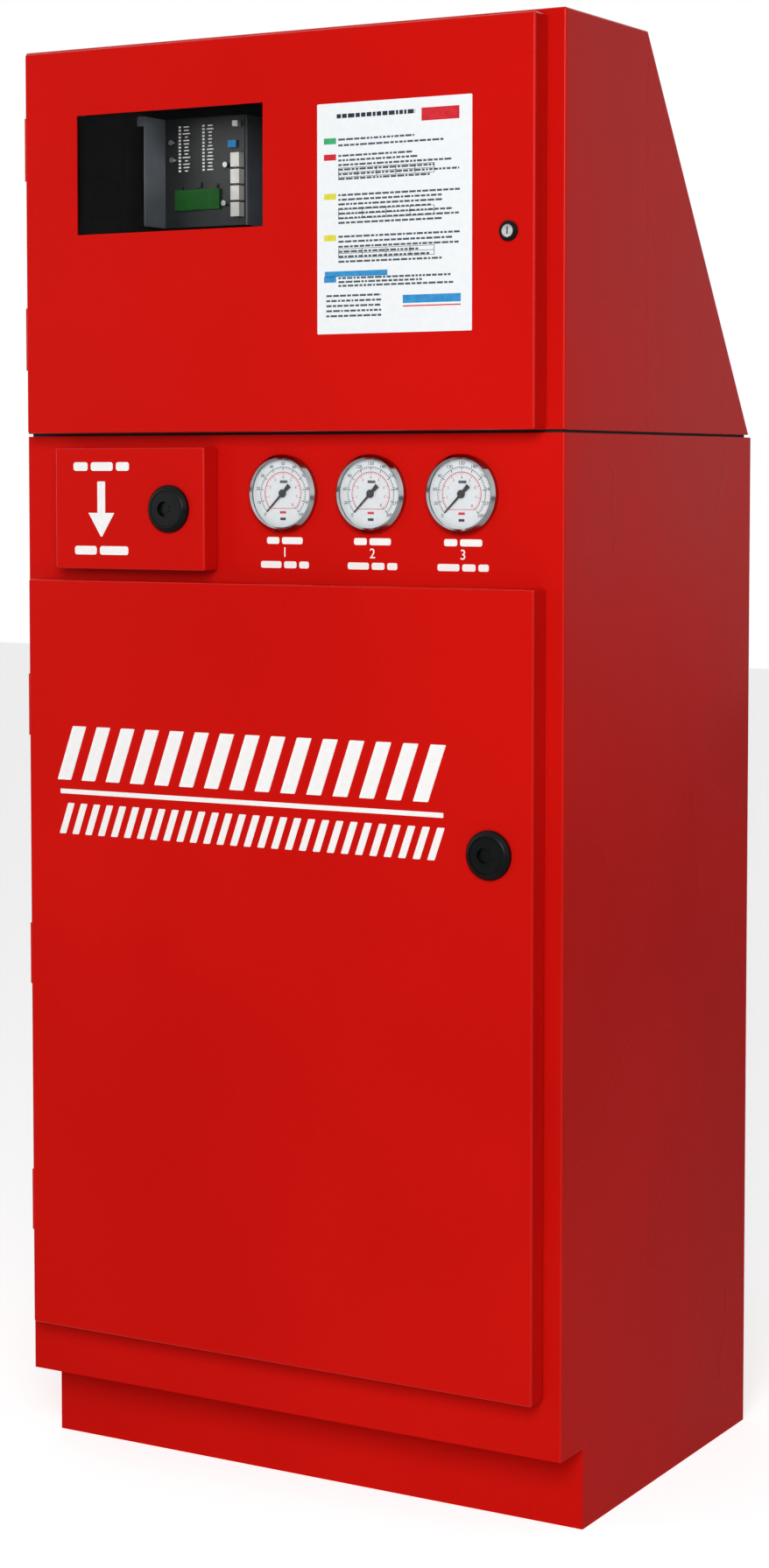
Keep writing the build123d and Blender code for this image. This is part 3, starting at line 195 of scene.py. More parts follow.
def red_powder_coat(name):
    """Gloss red coat; returns the tree and shader too, for masks."""
    material, tree, shader = new_finish(name, 0.28, specular_ior_level=0.03)
    shader.inputs["Specular Tint"].default_value = linear(RED_GLOSS)
    drift = object_noise(tree, DRIFT_MM, 2.0)
    two_tone(tree, shader, drift.outputs["Fac"], RED_DEEP, RED_LIGHT, 0.0, 1.0)
    peel = object_noise(tree, PEEL_MM, 1.0)
    wave = object_noise(tree, WAVE_MM, 1.0)
    both = add_node(tree, "ShaderNodeMath",
                    {0: peel.outputs["Fac"], 1: PEEL_SHARE, 2: wave.outputs["Fac"]},
                    operation="MULTIPLY_ADD")
    relief(tree, shader, both.outputs["Value"], WAVE_DEPTH_MM)
    vary_roughness(tree, shader, drift.outputs["Fac"], SMOOTHEST, ROUGHEST)
    surface = add_node(tree, "ShaderNodeNewGeometry")
    plain = add_node(tree, "ShaderNodeVectorMath", {0: surface.outputs["Normal"]},
                     operation="ABSOLUTE")
    parts = add_node(tree, "ShaderNodeSeparateXYZ", {"Vector": plain.outputs["Vector"]})
    wide = add_node(tree, "ShaderNodeMath", {0: parts.outputs["X"], 1: parts.outputs["Y"]},
                    operation="MAXIMUM")
    widest = add_node(tree, "ShaderNodeMath", {0: wide.outputs["Value"], 1: parts.outputs["Z"]},
                      operation="MAXIMUM")
    fold = add_node(tree, "ShaderNodeMapRange",
                    {"Value": widest.outputs["Value"], "From Min": FLAT_NORMAL,
                     "From Max": FOLD_NORMAL, "To Min": FLAT_GLOSS, "To Max": FOLD_GLOSS})
    tree.links.new(fold.outputs["Result"], shader.inputs["Specular IOR Level"])
    return material, tree, shader


def between(tree, value, low, high):
    """1 where a value lies between two limits, else 0."""
    above = add_node(tree, "ShaderNodeMath", {0: value, 1: low}, operation="GREATER_THAN")
    below = add_node(tree, "ShaderNodeMath", {0: value, 1: high}, operation="LESS_THAN")
    return add_node(tree, "ShaderNodeMath", {0: above.outputs["Value"], 1: below.outputs["Value"]},
                    operation="MULTIPLY").outputs["Value"]


def black_inside(name, low, high):
    """Red coat outside; black inside a box given by two corners, as painted shade."""
    material, tree, shader = red_powder_coat(name)
    place = add_node(tree, "ShaderNodeTexCoord")
    axes = add_node(tree, "ShaderNodeSeparateXYZ", {"Vector": place.outputs["Object"]})
    masks = [between(tree, axes.outputs[axis], low[i], high[i]) for i, axis in enumerate("XYZ")]
    two = add_node(tree, "ShaderNodeMath", {0: masks[0], 1: masks[1]}, operation="MULTIPLY")
    inside = add_node(tree, "ShaderNodeMath", {0: two.outputs["Value"], 1: masks[2]},
                      operation="MULTIPLY")
    red = shader.inputs["Base Color"].links[0].from_socket
    pick = add_node(tree, "ShaderNodeMix", {"Factor": inside.outputs["Value"]}, data_type="RGBA")
    colour_inputs = [socket for socket in pick.inputs if socket.type == "RGBA"]
    colour_inputs[1].default_value = linear(ENCLOSURE_PAINTED_SHADE)
    tree.links.new(red, colour_inputs[0])
    colour_output = [socket for socket in pick.outputs if socket.type == "RGBA"][0]
    tree.links.new(colour_output, shader.inputs["Base Color"])
    return material


# %% [markdown]
# The other paints are red enamel on the pipes, thick cast enamel on the valves and
# couplings, and grey paint on the bracket. Cast iron keeps the grain of its sand
# mould, so its bump is coarse and its gloss broken.

# %% Enamels and castings
def pipe_enamel():
    """Sprayed steel pipe: satin, with faint streaks down its length."""
    material, tree, shader = new_finish("pipe_red_enamel", 0.4, specular_ior_level=0.25)
    streak = object_noise(tree, 60, 3.0, (1, 1, 0.3))
    two_tone(tree, shader, streak.outputs["Fac"], "#9E1712", "#B01D16")
    vary_roughness(tree, shader, streak.outputs["Fac"], 0.32, 0.5)
    return material


def cast_enamel(name, dark, light, grain_mm=2.5):
    """Thick enamel over sand-cast iron: grainy and patchy in its gloss."""
    material, tree, shader = new_finish(name, 0.5, specular_ior_level=0.3)
    grain = object_noise(tree, grain_mm, 4.0)
    blotch = object_noise(tree, 45, 2.0)
    two_tone(tree, shader, blotch.outputs["Fac"], dark, light)
    relief(tree, shader, grain.outputs["Fac"], 0.35)
    vary_roughness(tree, shader, blotch.outputs["Fac"], 0.4, 0.62)
    return material


def flat_paint(name, dark, light):
    """Sprayed sheet metal: almost smooth, with a fine dust of specks."""
    material, tree, shader = new_finish(name, 0.45, specular_ior_level=0.3)
    blotch = object_noise(tree, 70, 3.0)
    two_tone(tree, shader, blotch.outputs["Fac"], dark, light)
    speck = object_noise(tree, 2, 1.0)
    relief(tree, shader, speck.outputs["Fac"], 0.03)
    return material


# %% [markdown]
# Metals keep the shader's own IOR and take their look from roughness. Polished
# stainless is nearly a mirror, zinc plate is blotchy, and machined brass shows
# the fine lines that a tool leaves.

# %% Bare metals
def polished_stainless():
    """Buffed stainless steel: nearly a mirror, with a faint haze."""
    material, tree, shader = new_finish("polished_stainless", 0.1, 1.0)
    cloud = object_noise(tree, 30, 2.0)
    two_tone(tree, shader, cloud.outputs["Fac"], "#9DA1A4", "#B4B7B8")
    vary_roughness(tree, shader, cloud.outputs["Fac"], 0.07, 0.16)
    return material


def zinc_plate():
    """Zinc plated steel: soft grey blotches of unequal gloss."""
    material, tree, shader = new_finish("zinc_plated_steel", 0.35, 1.0)
    spangle = object_noise(tree, 14, 3.0)
    two_tone(tree, shader, spangle.outputs["Fac"], "#9C9FA2", "#C4C6C6")
    vary_roughness(tree, shader, spangle.outputs["Fac"], 0.28, 0.48)
    return material


def machined_brass():
    """Machined brass: warm, a little tarnished, with fine tool lines."""
    material, tree, shader = new_finish("machined_brass", 0.3, 1.0)
    tarnish = object_noise(tree, 25, 4.0)
    two_tone(tree, shader, tarnish.outputs["Fac"], "#A67F3C", "#C9A45C")
    turning = object_noise(tree, 1.2, 1.0, (0.1, 1, 1))
    relief(tree, shader, turning.outputs["Fac"], 0.04)
    vary_roughness(tree, shader, tarnish.outputs["Fac"], 0.22, 0.42)
    return material


# %% [markdown]
# Plastics and rubber: the latches are black glass-filled nylon with a fine spark
# texture, the seals are dull rubber, and the cases of the coil, the batteries and
# the terminal blocks are moulded, each with its own grain.

# %% Plastics and rubber
def moulded(name, dark, light, roughness, grain_mm=1.5, grain_depth=0.05, gloss=0.4):
    """Moulded plastic or rubber: even colour under a fine grain."""
    material, tree, shader = new_finish(name, roughness, specular_ior_level=gloss)
    cloud = object_noise(tree, 18, 2.0)
    two_tone(tree, shader, cloud.outputs["Fac"], dark, light)
    grain = object_noise(tree, grain_mm, 2.0)
    relief(tree, shader, grain.outputs["Fac"], grain_depth)
    return material


# %% [markdown]
# The window and the gauge glasses are thin and clear. A low alpha lets the dials and
# the board show through and keeps a little gloss. The window's tint is darker, as
# painted shade that goes with the black painted as shade inside the enclosure behind it.

# %% Glass
def clear_glass(name, tint, alpha):
    """Thin clear pane: see-through, smooth, with a faint smear in its gloss."""
    material, tree, shader = new_finish(name, 0.04, specular_ior_level=0.2)
    shader.inputs["Alpha"].default_value = alpha
    shader.inputs["Base Color"].default_value = linear(tint)
    smear = object_noise(tree, 40, 2.0)
    vary_roughness(tree, shader, smear.outputs["Fac"], 0.02, 0.07)
    return material


# %% [markdown]
# Print and paper are matt. Ink is drawn as thin raised shapes with a flat matt
# colour that fades a little where the roller ran dry.

# %% Inks, paper and enamel
def ink(name, dark, light):
    """Matt ink, paper or enamel whose colour fades a little in patches."""
    material, tree, shader = new_finish(name, 0.55, specular_ior_level=0.2)
    dry = object_noise(tree, 8, 3.0)
    two_tone(tree, shader, dry.outputs["Fac"], dark, light)
    return material


FINISHES = {
    "cabinet_paint": red_powder_coat("red_powder_coat")[0],
    "black_seal": moulded("black_rubber_seal", "#0E0E0E", "#171717", 0.75),
    "black_plastic": moulded("black_nylon", "#040506", "#080A0C", 0.3,
                             grain_mm=1.2, grain_depth=0.03, gloss=0.14),
    "zinc_steel": zinc_plate(),
    # The black_paint slot colours the plate inside the enclosure near black, as painted shade.
    "black_paint": moulded("black_powder_painted_shade", "#070707", "#0C0C0C", 0.6,
                           grain_mm=4.0, grain_depth=0.05, gloss=0.1),
    "polished_steel": polished_stainless(),
    "dial_white": ink("white_dial_enamel", "#E0E5E9", "#E4E9EC"),
    "needle_black": ink("black_needle_enamel", "#0C0C0C", "#151515"),
    "grey_bracket": flat_paint("grey_bracket_paint", "#5C6268", "#70767C"),
    "board_black": moulded("black_solder_mask", "#0B0E10", "#15191C", 0.35,
                           grain_mm=3.0, grain_depth=0.04),
    "display_green": ink("green_display_glass", "#0E4A15", "#125C1A"),
    "terminal_white": moulded("white_nylon_blocks", "#DAD9D2", "#E9E8E2", 0.45),
    "battery_grey": moulded("battery_case_abs", "#26282B", "#303337", 0.55),
    "pipe_red": pipe_enamel(),
    "valve_iron": cast_enamel("valve_red_casting", "#8E1712", "#A31D16"),
    "coupling_orange": cast_enamel("coupling_orange_casting", "#B9481B", "#CC5A26"),
    "trim_brass": machined_brass(),
    "coil_black": moulded("coil_black_epoxy", "#141414", "#1F1F1F", 0.4),
    "switch_red": flat_paint("switch_red_enamel", "#A3140F", "#B51B15"),
    "compressor_grey": cast_enamel("compressor_hammered_grey", "#3B3F43", "#53585D",
                                   grain_mm=6.0),
    "lever_red": moulded("red_dipped_vinyl", "#A8120E", "#BC1913", 0.5),
}
GAUGE_GLASS = clear_glass("gauge_glass", "#E8EEEE", 0.03)
# The window's dark tint is painted shade over the dark inside of the enclosure.
WINDOW_GLASS = clear_glass("window_glass", "#050607", 0.08)
PRINT_WHITE = ink("white_screen_print", "#F7F6F4", "#FAFAF8")
PAPER = ink("coated_paper", "#EEF1F3", "#F1F4F6")
INK_GREY = ink("grey_print", "#3F4A54", "#57626B")
INK_DARK = ink("dark_print", "#18222C", "#27323D")
INK_RED = ink("red_print", "#C8202C", "#D62C38")
INK_GREEN = ink("green_print", "#35A468", "#46B478")
INK_YELLOW = ink("yellow_print", "#D9D23A", "#E6E052")
INK_BLUE = ink("blue_print", "#2C86C4", "#3E98D2")
INK_BLACK = ink("black_print", "#161616", "#222222")
print("finishes", len(FINISHES))

# %% [markdown]
# The record says which slot each solid belongs to, so one loop dresses them all. The
# lenses, the window pane and the enclosure, whose inside is black as painted shade,
# have finishes of their own.

# %% Give every CAD node its finish
HALF_SHEET = Vector((0.001, 0.001, 0.001))
shell_low, shell_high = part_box("control_enclosure")
SPECIAL_FINISHES = {
    "gauge_lenses": GAUGE_GLASS,
    "window_pane": WINDOW_GLASS,
    # The enclosure's inside is painted black here as painted shade.
    "control_enclosure": black_inside("red_coat_painted_shade_inside", Vector(shell_low) + HALF_SHEET,
                                      Vector(shell_high) - HALF_SHEET),
}
for part in frame["record"]["subparts"]:
    mesh = frame["nodes"][part["node"]].data
    mesh.materials.clear()
    mesh.materials.append(
        SPECIAL_FINISHES.get(part["node"], FINISHES.get(part["material_slot"]))
    )

# %% [markdown]
# Thin raised shapes carry all the print: stripes on the main door, the arrow on
# the lever door, the sheet on the control door and the scales of the dials. Most
# start as a cube that is brought to size. Where corners are round, the bevel tool
# rounds the edges that run from front to back.

# %% Modelling helpers
PRINT_LIFT = 0.0002
BEVEL_SEGMENTS = 4
CAP_SHARE = 0.72
CURVE_STEPS = 3


def deselect():
    """Leave nothing selected, so that the next operator acts on its own piece only."""
    bpy.ops.object.select_all(action="DESELECT")


def pick_edges(mesh, wanted):
    """In object mode, select only the edges that the test accepts."""
    for item in (*mesh.vertices, *mesh.polygons):
        item.select = False
    for edge in mesh.edges:
        ends = [mesh.vertices[i].co for i in edge.vertices]
        edge.select = wanted(*ends)


def slab(name, centre, size, corner, material):
    """Box of a given size whose corners are rounded in the view from the front."""
    deselect()
    bpy.ops.mesh.primitive_cube_add(size=1, location=centre)
    piece = bpy.context.object
    piece.name = name
    piece.scale = size
    bpy.ops.object.transform_apply(location=True, rotation=True, scale=True)
    if corner:
        pick_edges(piece.data, lambda a, b: abs(a.y - b.y) > size[1] / 2)
        bpy.ops.object.mode_set(mode="EDIT")
        bpy.ops.mesh.select_mode(type="EDGE")
        bpy.ops.mesh.bevel(offset=corner, segments=BEVEL_SEGMENTS, affect="EDGES")
        bpy.ops.object.mode_set(mode="OBJECT")
    piece.data.materials.append(material)
    return piece


def copy_of(piece, matrix):
    """Copy of a piece with its own mesh, moved by a matrix."""
    twin = piece.copy()
    twin.data = piece.data.copy()
    bpy.context.scene.collection.objects.link(twin)
    twin.data.transform(matrix)
    return twin


def join(pieces, name, body):
    """One object from several, riding on a body."""
    deselect()
    for piece in pieces:
        piece.select_set(True)
    bpy.context.view_layer.objects.active = pieces[0]
    if len(pieces) > 1:
        bpy.ops.object.join()
    whole = bpy.context.object
    whole.name = name
    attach(whole, body)
    print(name, "faces", len(whole.data.polygons))


def written(words, x, z, height, y, material):
    """Plain numerals cut as a thin mesh that faces the front, centred on x, z."""
    deselect()
    bpy.ops.object.text_add(location=(0, 0, 0))
    letter = bpy.context.object
    letter.data.body = words
    letter.data.size = height / CAP_SHARE
    letter.data.align_x = "CENTER"
    letter.data.align_y = "CENTER"
    letter.data.resolution_u = CURVE_STEPS
    letter.data.extrude = PRINT_LIFT / 2
    bpy.ops.object.convert(target="MESH")
    letter = bpy.context.object
    upright = Matrix.Rotation(math.radians(90), 4, "X")
    letter.data.transform(Matrix.Translation((x, y, z)) @ upright)
    letter.data.materials.append(material)
    return letter


# %% [markdown]
# Main door: a stripe runs across the door's upper middle. It is a row of slanted
# white bars, a thin rule under it and a row of smaller bars, screen printed on the
# paint. Each bar starts as a slab, and its corners are shifted sideways with height.

# %% Stripes on the main door
door_low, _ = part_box("main_door")
STRIPE_LEFT = -0.318
STRIPE_RIGHT = 0.247
BAR_TOP = 0.962
BAR_BOTTOM = 0.892
RULE_HEIGHT = 0.006
RULE_GAP = 0.012
SMALL_BAR_HEIGHT = 0.040
BAR_COUNT = 15
SMALL_BAR_COUNT = 28
BAR_SLANT = 0.35
BAR_FILL = 0.55
SMALL_BAR_FILL = 0.5
BAR_CORNER = 0.0012
RULE_CORNER = 0.001


def slanted_row(name, bottom, top, count, fill, face_y):
    """Row of slanted bars between the stripe's ends."""
    pitch = (STRIPE_RIGHT - STRIPE_LEFT) / count
    height = top - bottom
    first_x = STRIPE_LEFT + pitch / 2
    first = slab(name, (first_x, face_y - PRINT_LIFT / 2, (bottom + top) / 2),
                 (pitch * fill, PRINT_LIFT, height), BAR_CORNER, PRINT_WHITE)
    for vertex in first.data.vertices:
        vertex.co.x += (vertex.co.z - bottom - height / 2) * BAR_SLANT
    return [first] + [
        copy_of(first, Matrix.Translation((pitch * step, 0, 0))) for step in range(1, count)
    ]


door_face = door_low.y
rule_z = BAR_BOTTOM - RULE_GAP - RULE_HEIGHT / 2
small_top = rule_z - RULE_HEIGHT / 2 - RULE_GAP
stripes = slanted_row("stripe_bar", BAR_BOTTOM, BAR_TOP, BAR_COUNT, BAR_FILL, door_face)
stripes += slanted_row("stripe_small_bar", small_top - SMALL_BAR_HEIGHT, small_top,
                       SMALL_BAR_COUNT, SMALL_BAR_FILL, door_face)
stripes.append(
    slab("stripe_rule",
         ((STRIPE_LEFT + STRIPE_RIGHT) / 2, door_face - PRINT_LIFT / 2, rule_z),
         (STRIPE_RIGHT - STRIPE_LEFT, PRINT_LIFT, RULE_HEIGHT), RULE_CORNER, PRINT_WHITE)
)
join(stripes, "main_door_stripes", "main_door")

# %% [markdown]
# Lever door: a plain arrow that points down tells which way the lever goes, between
# short bars. The shaft is one slab. The head is a second one, whose lower corners are
# drawn together to a point.

# %% Arrow and bars on the lever door
lever_low, lever_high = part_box("lever_door")
ARROW_INSET = 0.072
ARROW_DROP = 0.043
ARROW_X = lever_low.x + ARROW_INSET
ARROW_TOP = lever_high.z - ARROW_DROP
ARROW_SHAFT = 0.040
ARROW_HEAD = 0.030
ARROW_WIDTH = 0.012
ARROW_CORNER = 0.001
HEAD_WIDTH = 0.040
TIP_SHARE = 0.06
BAR_ROUNDING = 0.3
LEVER_BARS_INSET = 0.024
LEVER_BAR_HEIGHT = 0.011
LEVER_BAR_GAP = 0.005
TOP_BARS = (0.022, 0.034, 0.020)
FOOT_BARS = (0.034, 0.044)
lever_face = lever_low.y - PRINT_LIFT / 2


def bar_row(name, centre_x, z, widths, height, gap, centre_y):
    """Short rounded bars side by side, centred on a place."""
    total = sum(widths) + gap * (len(widths) - 1)
    left = centre_x - total / 2
    bars = []
    for width in widths:
        bars.append(slab(name, (left + width / 2, centre_y, z), (width, PRINT_LIFT, height),
                         height * BAR_ROUNDING, PRINT_WHITE))
        left += width + gap
    return bars


shaft = slab("arrow_shaft", (ARROW_X, lever_face, ARROW_TOP - ARROW_SHAFT / 2),
             (ARROW_WIDTH, PRINT_LIFT, ARROW_SHAFT), ARROW_CORNER, PRINT_WHITE)
head_top = ARROW_TOP - ARROW_SHAFT
head = slab("arrow_head", (ARROW_X, lever_face, head_top - ARROW_HEAD / 2),
            (HEAD_WIDTH, PRINT_LIFT, ARROW_HEAD), 0, PRINT_WHITE)
for corner in head.data.vertices:
    if corner.co.z < head_top - ARROW_HEAD / 2:
        corner.co.x = ARROW_X + (corner.co.x - ARROW_X) * TIP_SHARE
marks = [shaft, head]
marks += bar_row("lever_bar", ARROW_X, lever_high.z - LEVER_BARS_INSET, TOP_BARS,
                 LEVER_BAR_HEIGHT, LEVER_BAR_GAP, lever_face)
marks += bar_row("lever_bar", ARROW_X, lever_low.z + LEVER_BARS_INSET, FOOT_BARS,
                 LEVER_BAR_HEIGHT, LEVER_BAR_GAP, lever_face)
join(marks, "lever_door_arrow", "lever_door")

# %% [markdown]
# Under each gauge the panel carries a small printed label. Here it is the gauge's
# position number, with short bars above and below it in place of words.

# %% Labels under the gauges
GAUGE_COUNT = 3
UPPER_BARS_DROP = 0.0585
NUMBER_DROP = 0.0735
LOWER_BARS_DROP = 0.0885
NUMBER_HEIGHT = 0.0125
LABEL_BAR_HEIGHT = 0.0085
LABEL_BAR_GAP = 0.004
UPPER_BARS = (0.018, 0.030)
LOWER_BARS = (0.030, 0.018, 0.014)
panel_low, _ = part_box("gauge_panel")
bezel_low, bezel_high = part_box("gauge_bezels")
bezel_radius = (bezel_high.z - bezel_low.z) / 2
gauge_z = (bezel_low.z + bezel_high.z) / 2
gauge_pitch = (bezel_high.x - bezel_low.x - 2 * bezel_radius) / (GAUGE_COUNT - 1)
gauge_xs = [bezel_low.x + bezel_radius + gauge_pitch * step for step in range(GAUGE_COUNT)]
label_face = panel_low.y - PRINT_LIFT / 2
labels = []
for number, x in enumerate(gauge_xs, start=1):
    labels += bar_row("label_bar", x, gauge_z - UPPER_BARS_DROP, UPPER_BARS,
                      LABEL_BAR_HEIGHT, LABEL_BAR_GAP, label_face)
    labels.append(written(str(number), x, gauge_z - NUMBER_DROP, NUMBER_HEIGHT, label_face,
                          PRINT_WHITE))
    labels += bar_row("label_bar", x, gauge_z - LOWER_BARS_DROP, LOWER_BARS,
                      LABEL_BAR_HEIGHT, LABEL_BAR_GAP, label_face)
join(labels, "gauge_labels", "cabinet")

# %% [markdown]
# Dials: a black outer scale with ticks and plain numbers, and a smaller red scale
# inside it. The pointer sweeps 270 degrees from lower left, so ticks are placed by
# a loop of angles and turned to point at the centre.

# %% Dial scales
dial_low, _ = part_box("gauge_dials")
dial_face = dial_low.y - PRINT_LIFT / 2
SWEEP_START = math.radians(225)
SWEEP = math.radians(270)
ARC_STEPS = 40


def dial_place(fraction, radius, x):
    """Point on the dial at a share of the sweep, clockwise from the start."""
    angle = SWEEP_START - SWEEP * fraction
    return x + radius * math.cos(angle), gauge_z + radius * math.sin(angle), angle


def tick_ring(name, x, count, inner, outer, width, material):
    """Ticks from one end of the sweep to the other."""
    ticks = []
    for step in range(count + 1):
        px, pz, angle = dial_place(step / count, (inner + outer) / 2, x)
        tick = slab(name, (0, 0, 0), (outer - inner, PRINT_LIFT, width), 0, material)
        tick.data.transform(
            Matrix.Translation((px, dial_face, pz)) @ Matrix.Rotation(-angle, 4, "Y")
        )
        ticks.append(tick)
    return ticks


def arc_band(name, x, inner, outer, material):
    """Thin band along the whole sweep: a strip of faces between two radii."""
    deselect()
    bpy.ops.mesh.primitive_plane_add(size=1)
    band = bpy.context.object
    band.name = name
    mesh = bpy.data.meshes.new(name)
    points = []
    for step in range(ARC_STEPS + 1):
        for radius in (inner, outer):
            px, pz, _ = dial_place(step / ARC_STEPS, radius, x)
            points.append((px, dial_face, pz))
    faces = [(2 * i, 2 * i + 1, 2 * i + 3, 2 * i + 2) for i in range(ARC_STEPS)]
    mesh.from_pydata(points, [], faces)
    band.data = mesh
    mesh.materials.append(material)
    return band


# %% [markdown]
# The rings of ticks and the arcs are listed by radius, in metres, with the inks that
# print them. A few short bars stand for the units, and a straight red foot closes the
# inner scale.

# %% Scales on the three dials
RINGS = (
    # name, ticks, inner radius, outer radius, width, ink
    ("tick", 50, 0.0305, 0.0325, 0.0004, INK_BLACK),
    ("tick_long", 10, 0.0290, 0.0325, 0.0009, INK_BLACK),
    ("tick_red", 40, 0.0242, 0.0262, 0.0004, INK_RED),
    ("tick_red_long", 8, 0.0230, 0.0262, 0.0007, INK_RED),
)
ARCS = (
    # name, inner radius, outer radius, ink
    ("arc_red", 0.0262, 0.0270, INK_RED),
    ("arc_black", 0.0325, 0.0330, INK_BLACK),
)
UNIT_BARS = (
    # name, right and up from the dial's centre, width, height, corner, ink
    ("red_unit", 0, -0.0235, 0.009, 0.003, 0.0005, INK_RED),
    ("black_unit", 0, -0.0315, 0.008, 0.0032, 0.0005, INK_BLACK),
    ("grey_unit", 0.001, 0.0145, 0.011, 0.0035, 0.001, INK_GREY),
)
FOOT_RADIUS = 0.0262
FOOT_HEIGHT = 0.0007
OUTER_STEPS = 10
OUTER_NUMBER_RADIUS = 0.0368
OUTER_NUMBER_HEIGHT = 0.0042
INNER_STEPS = 8
INNER_NUMBER_RADIUS = 0.0200
INNER_NUMBER_HEIGHT = 0.0036
DIALS = (("left", 100), ("middle", 300), ("right", 300))

for (side, full_scale), x in zip(DIALS, gauge_xs):
    scale = []
    for ring, count, inner, outer, width, ring_ink in RINGS:
        scale += tick_ring(ring, x, count, inner, outer, width, ring_ink)
    for arc, inner, outer, arc_ink in ARCS:
        scale.append(arc_band(arc, x, inner, outer, arc_ink))
    left_x, foot_z, _ = dial_place(0, FOOT_RADIUS, x)
    scale.append(slab("red_foot", (x, dial_face, foot_z),
                      (2 * (x - left_x), PRINT_LIFT, FOOT_HEIGHT), 0, INK_RED))
    for unit, right, up, width, height, rounding, unit_ink in UNIT_BARS:
        scale.append(slab(unit, (x + right, dial_face, gauge_z + up),
                          (width, PRINT_LIFT, height), rounding, unit_ink))
    for step in range(OUTER_STEPS + 1):
        px, pz, _ = dial_place(step / OUTER_STEPS, OUTER_NUMBER_RADIUS, x)
        scale.append(written(str(full_scale * step // OUTER_STEPS), px, pz,
                             OUTER_NUMBER_HEIGHT, dial_face, INK_BLACK))
    for step in range(INNER_STEPS + 1):
        px, pz, _ = dial_place(step / INNER_STEPS, INNER_NUMBER_RADIUS, x)
        scale.append(written(str(step), px, pz, INNER_NUMBER_HEIGHT, dial_face, INK_RED))
    join(scale, f"dial_scale_{side}", "cabinet")

# %% [markdown]
# The sheet on the control door is a printed letter sheet between the window and the
# key lock. It is a thin slab with rounded corners. Its text is drawn as rows of
# short grey bars, with coloured tabs at the left and ruled boxes, in a plain layout.

# %% Sheet on the control door
control_low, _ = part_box("control_door")
SHEET_LEFT = 0.0716
SHEET_RIGHT = 0.2848
SHEET_BOTTOM = 1.4552
SHEET_TOP = 1.7322
SHEET_CORNER = 0.0015
PAPER_THICKNESS = 0.0004
sheet_width = SHEET_RIGHT - SHEET_LEFT
sheet_height = SHEET_TOP - SHEET_BOTTOM
paper_y = control_low.y - PAPER_THICKNESS / 2
paper = slab("instruction_sheet",
             ((SHEET_LEFT + SHEET_RIGHT) / 2, paper_y, (SHEET_BOTTOM + SHEET_TOP) / 2),
             (sheet_width, PAPER_THICKNESS, sheet_height), SHEET_CORNER, PAPER)
join([paper], "instruction_sheet", "control_door")
ink_y = control_low.y - PAPER_THICKNESS - PRINT_LIFT / 2

# %% [markdown]
# Places on the sheet are shares of its width and height, counted from its top left
# corner. Word lengths are drawn from a fixed seed, so every run prints the same sheet.

# %% Rows of words on the sheet
SHORTEST_WORD = 0.012
LONGEST_WORD = 0.045
WORD_GAP = 0.008
ROW_HEIGHT = 0.0085


def on_sheet(name, left, right, top, bottom, material):
    """Printed block, placed by its shares of the sheet's width and height."""
    x0 = SHEET_LEFT + sheet_width * left
    x1 = SHEET_LEFT + sheet_width * right
    z1 = SHEET_TOP - sheet_height * top
    z0 = SHEET_TOP - sheet_height * bottom
    return slab(name, ((x0 + x1) / 2, ink_y, (z0 + z1) / 2), (x1 - x0, PRINT_LIFT, z1 - z0), 0,
                material)


def text_row(chance, left, right, top, height, material):
    """Row of word-like bars between two margins."""
    words = []
    cursor = left
    while cursor < right:
        length = chance.uniform(SHORTEST_WORD, LONGEST_WORD)
        stop = min(cursor + length, right)
        words.append(on_sheet("word", cursor, stop, top, top + height, material))
        cursor = stop + WORD_GAP
    return words


# %% [markdown]
# The layout is plain: a heading row with a colour block, five sections with coloured
# tabs, three ruled boxes, and a foot with a few notes and blocks.

# %% Print on the sheet
SEED = 11
HEAD_ROW = (0.13, 0.64, 0.048, 0.018)
TAB_LEFT = 0.045
TAB_RIGHT = 0.125
TAB_HEIGHT = 0.026
TEXT_LEFT = 0.14
ROW_DROP = 0.004
SHORTEST_ROW = 0.62
LONGEST_ROW = 0.93
SECTIONS = (
    # top, bottom, tab colour, rows of words
    (0.15, 0.20, INK_GREEN, 2),
    (0.22, 0.34, INK_RED, 6),
    (0.39, 0.53, INK_YELLOW, 7),
    (0.57, 0.70, INK_YELLOW, 6),
    (0.75, 0.80, INK_BLUE, 3),
)
BOXES = ((0.28, 5), (0.46, 4), (0.63, 4))
BOX_WIDTH = 0.62
BOX_HEIGHT = 0.04
BOX_END = 0.763
RULING_ACROSS = 0.003
RULING_DOWN = 0.002
RULING_LEVELS = (0, 0.02, 0.04)
HEAD_BLOCK = (0.68, 0.92, 0.045, 0.1)
FOOT_BLOCKS = (
    # name, left, right, top, bottom, ink
    ("blue_bar", 0.05, 0.46, 0.728, 0.752, INK_BLUE),
    ("foot_block", 0.56, 0.93, 0.84, 0.875, INK_BLUE),
    ("foot_rule", 0.56, 0.93, 0.885, 0.89, INK_RED),
)
NOTE_LEFT = 0.06
NOTE_RIGHT = 0.42
NOTE_TOP = 0.83
NOTE_PITCH = 0.022
NOTE_ROWS = 5

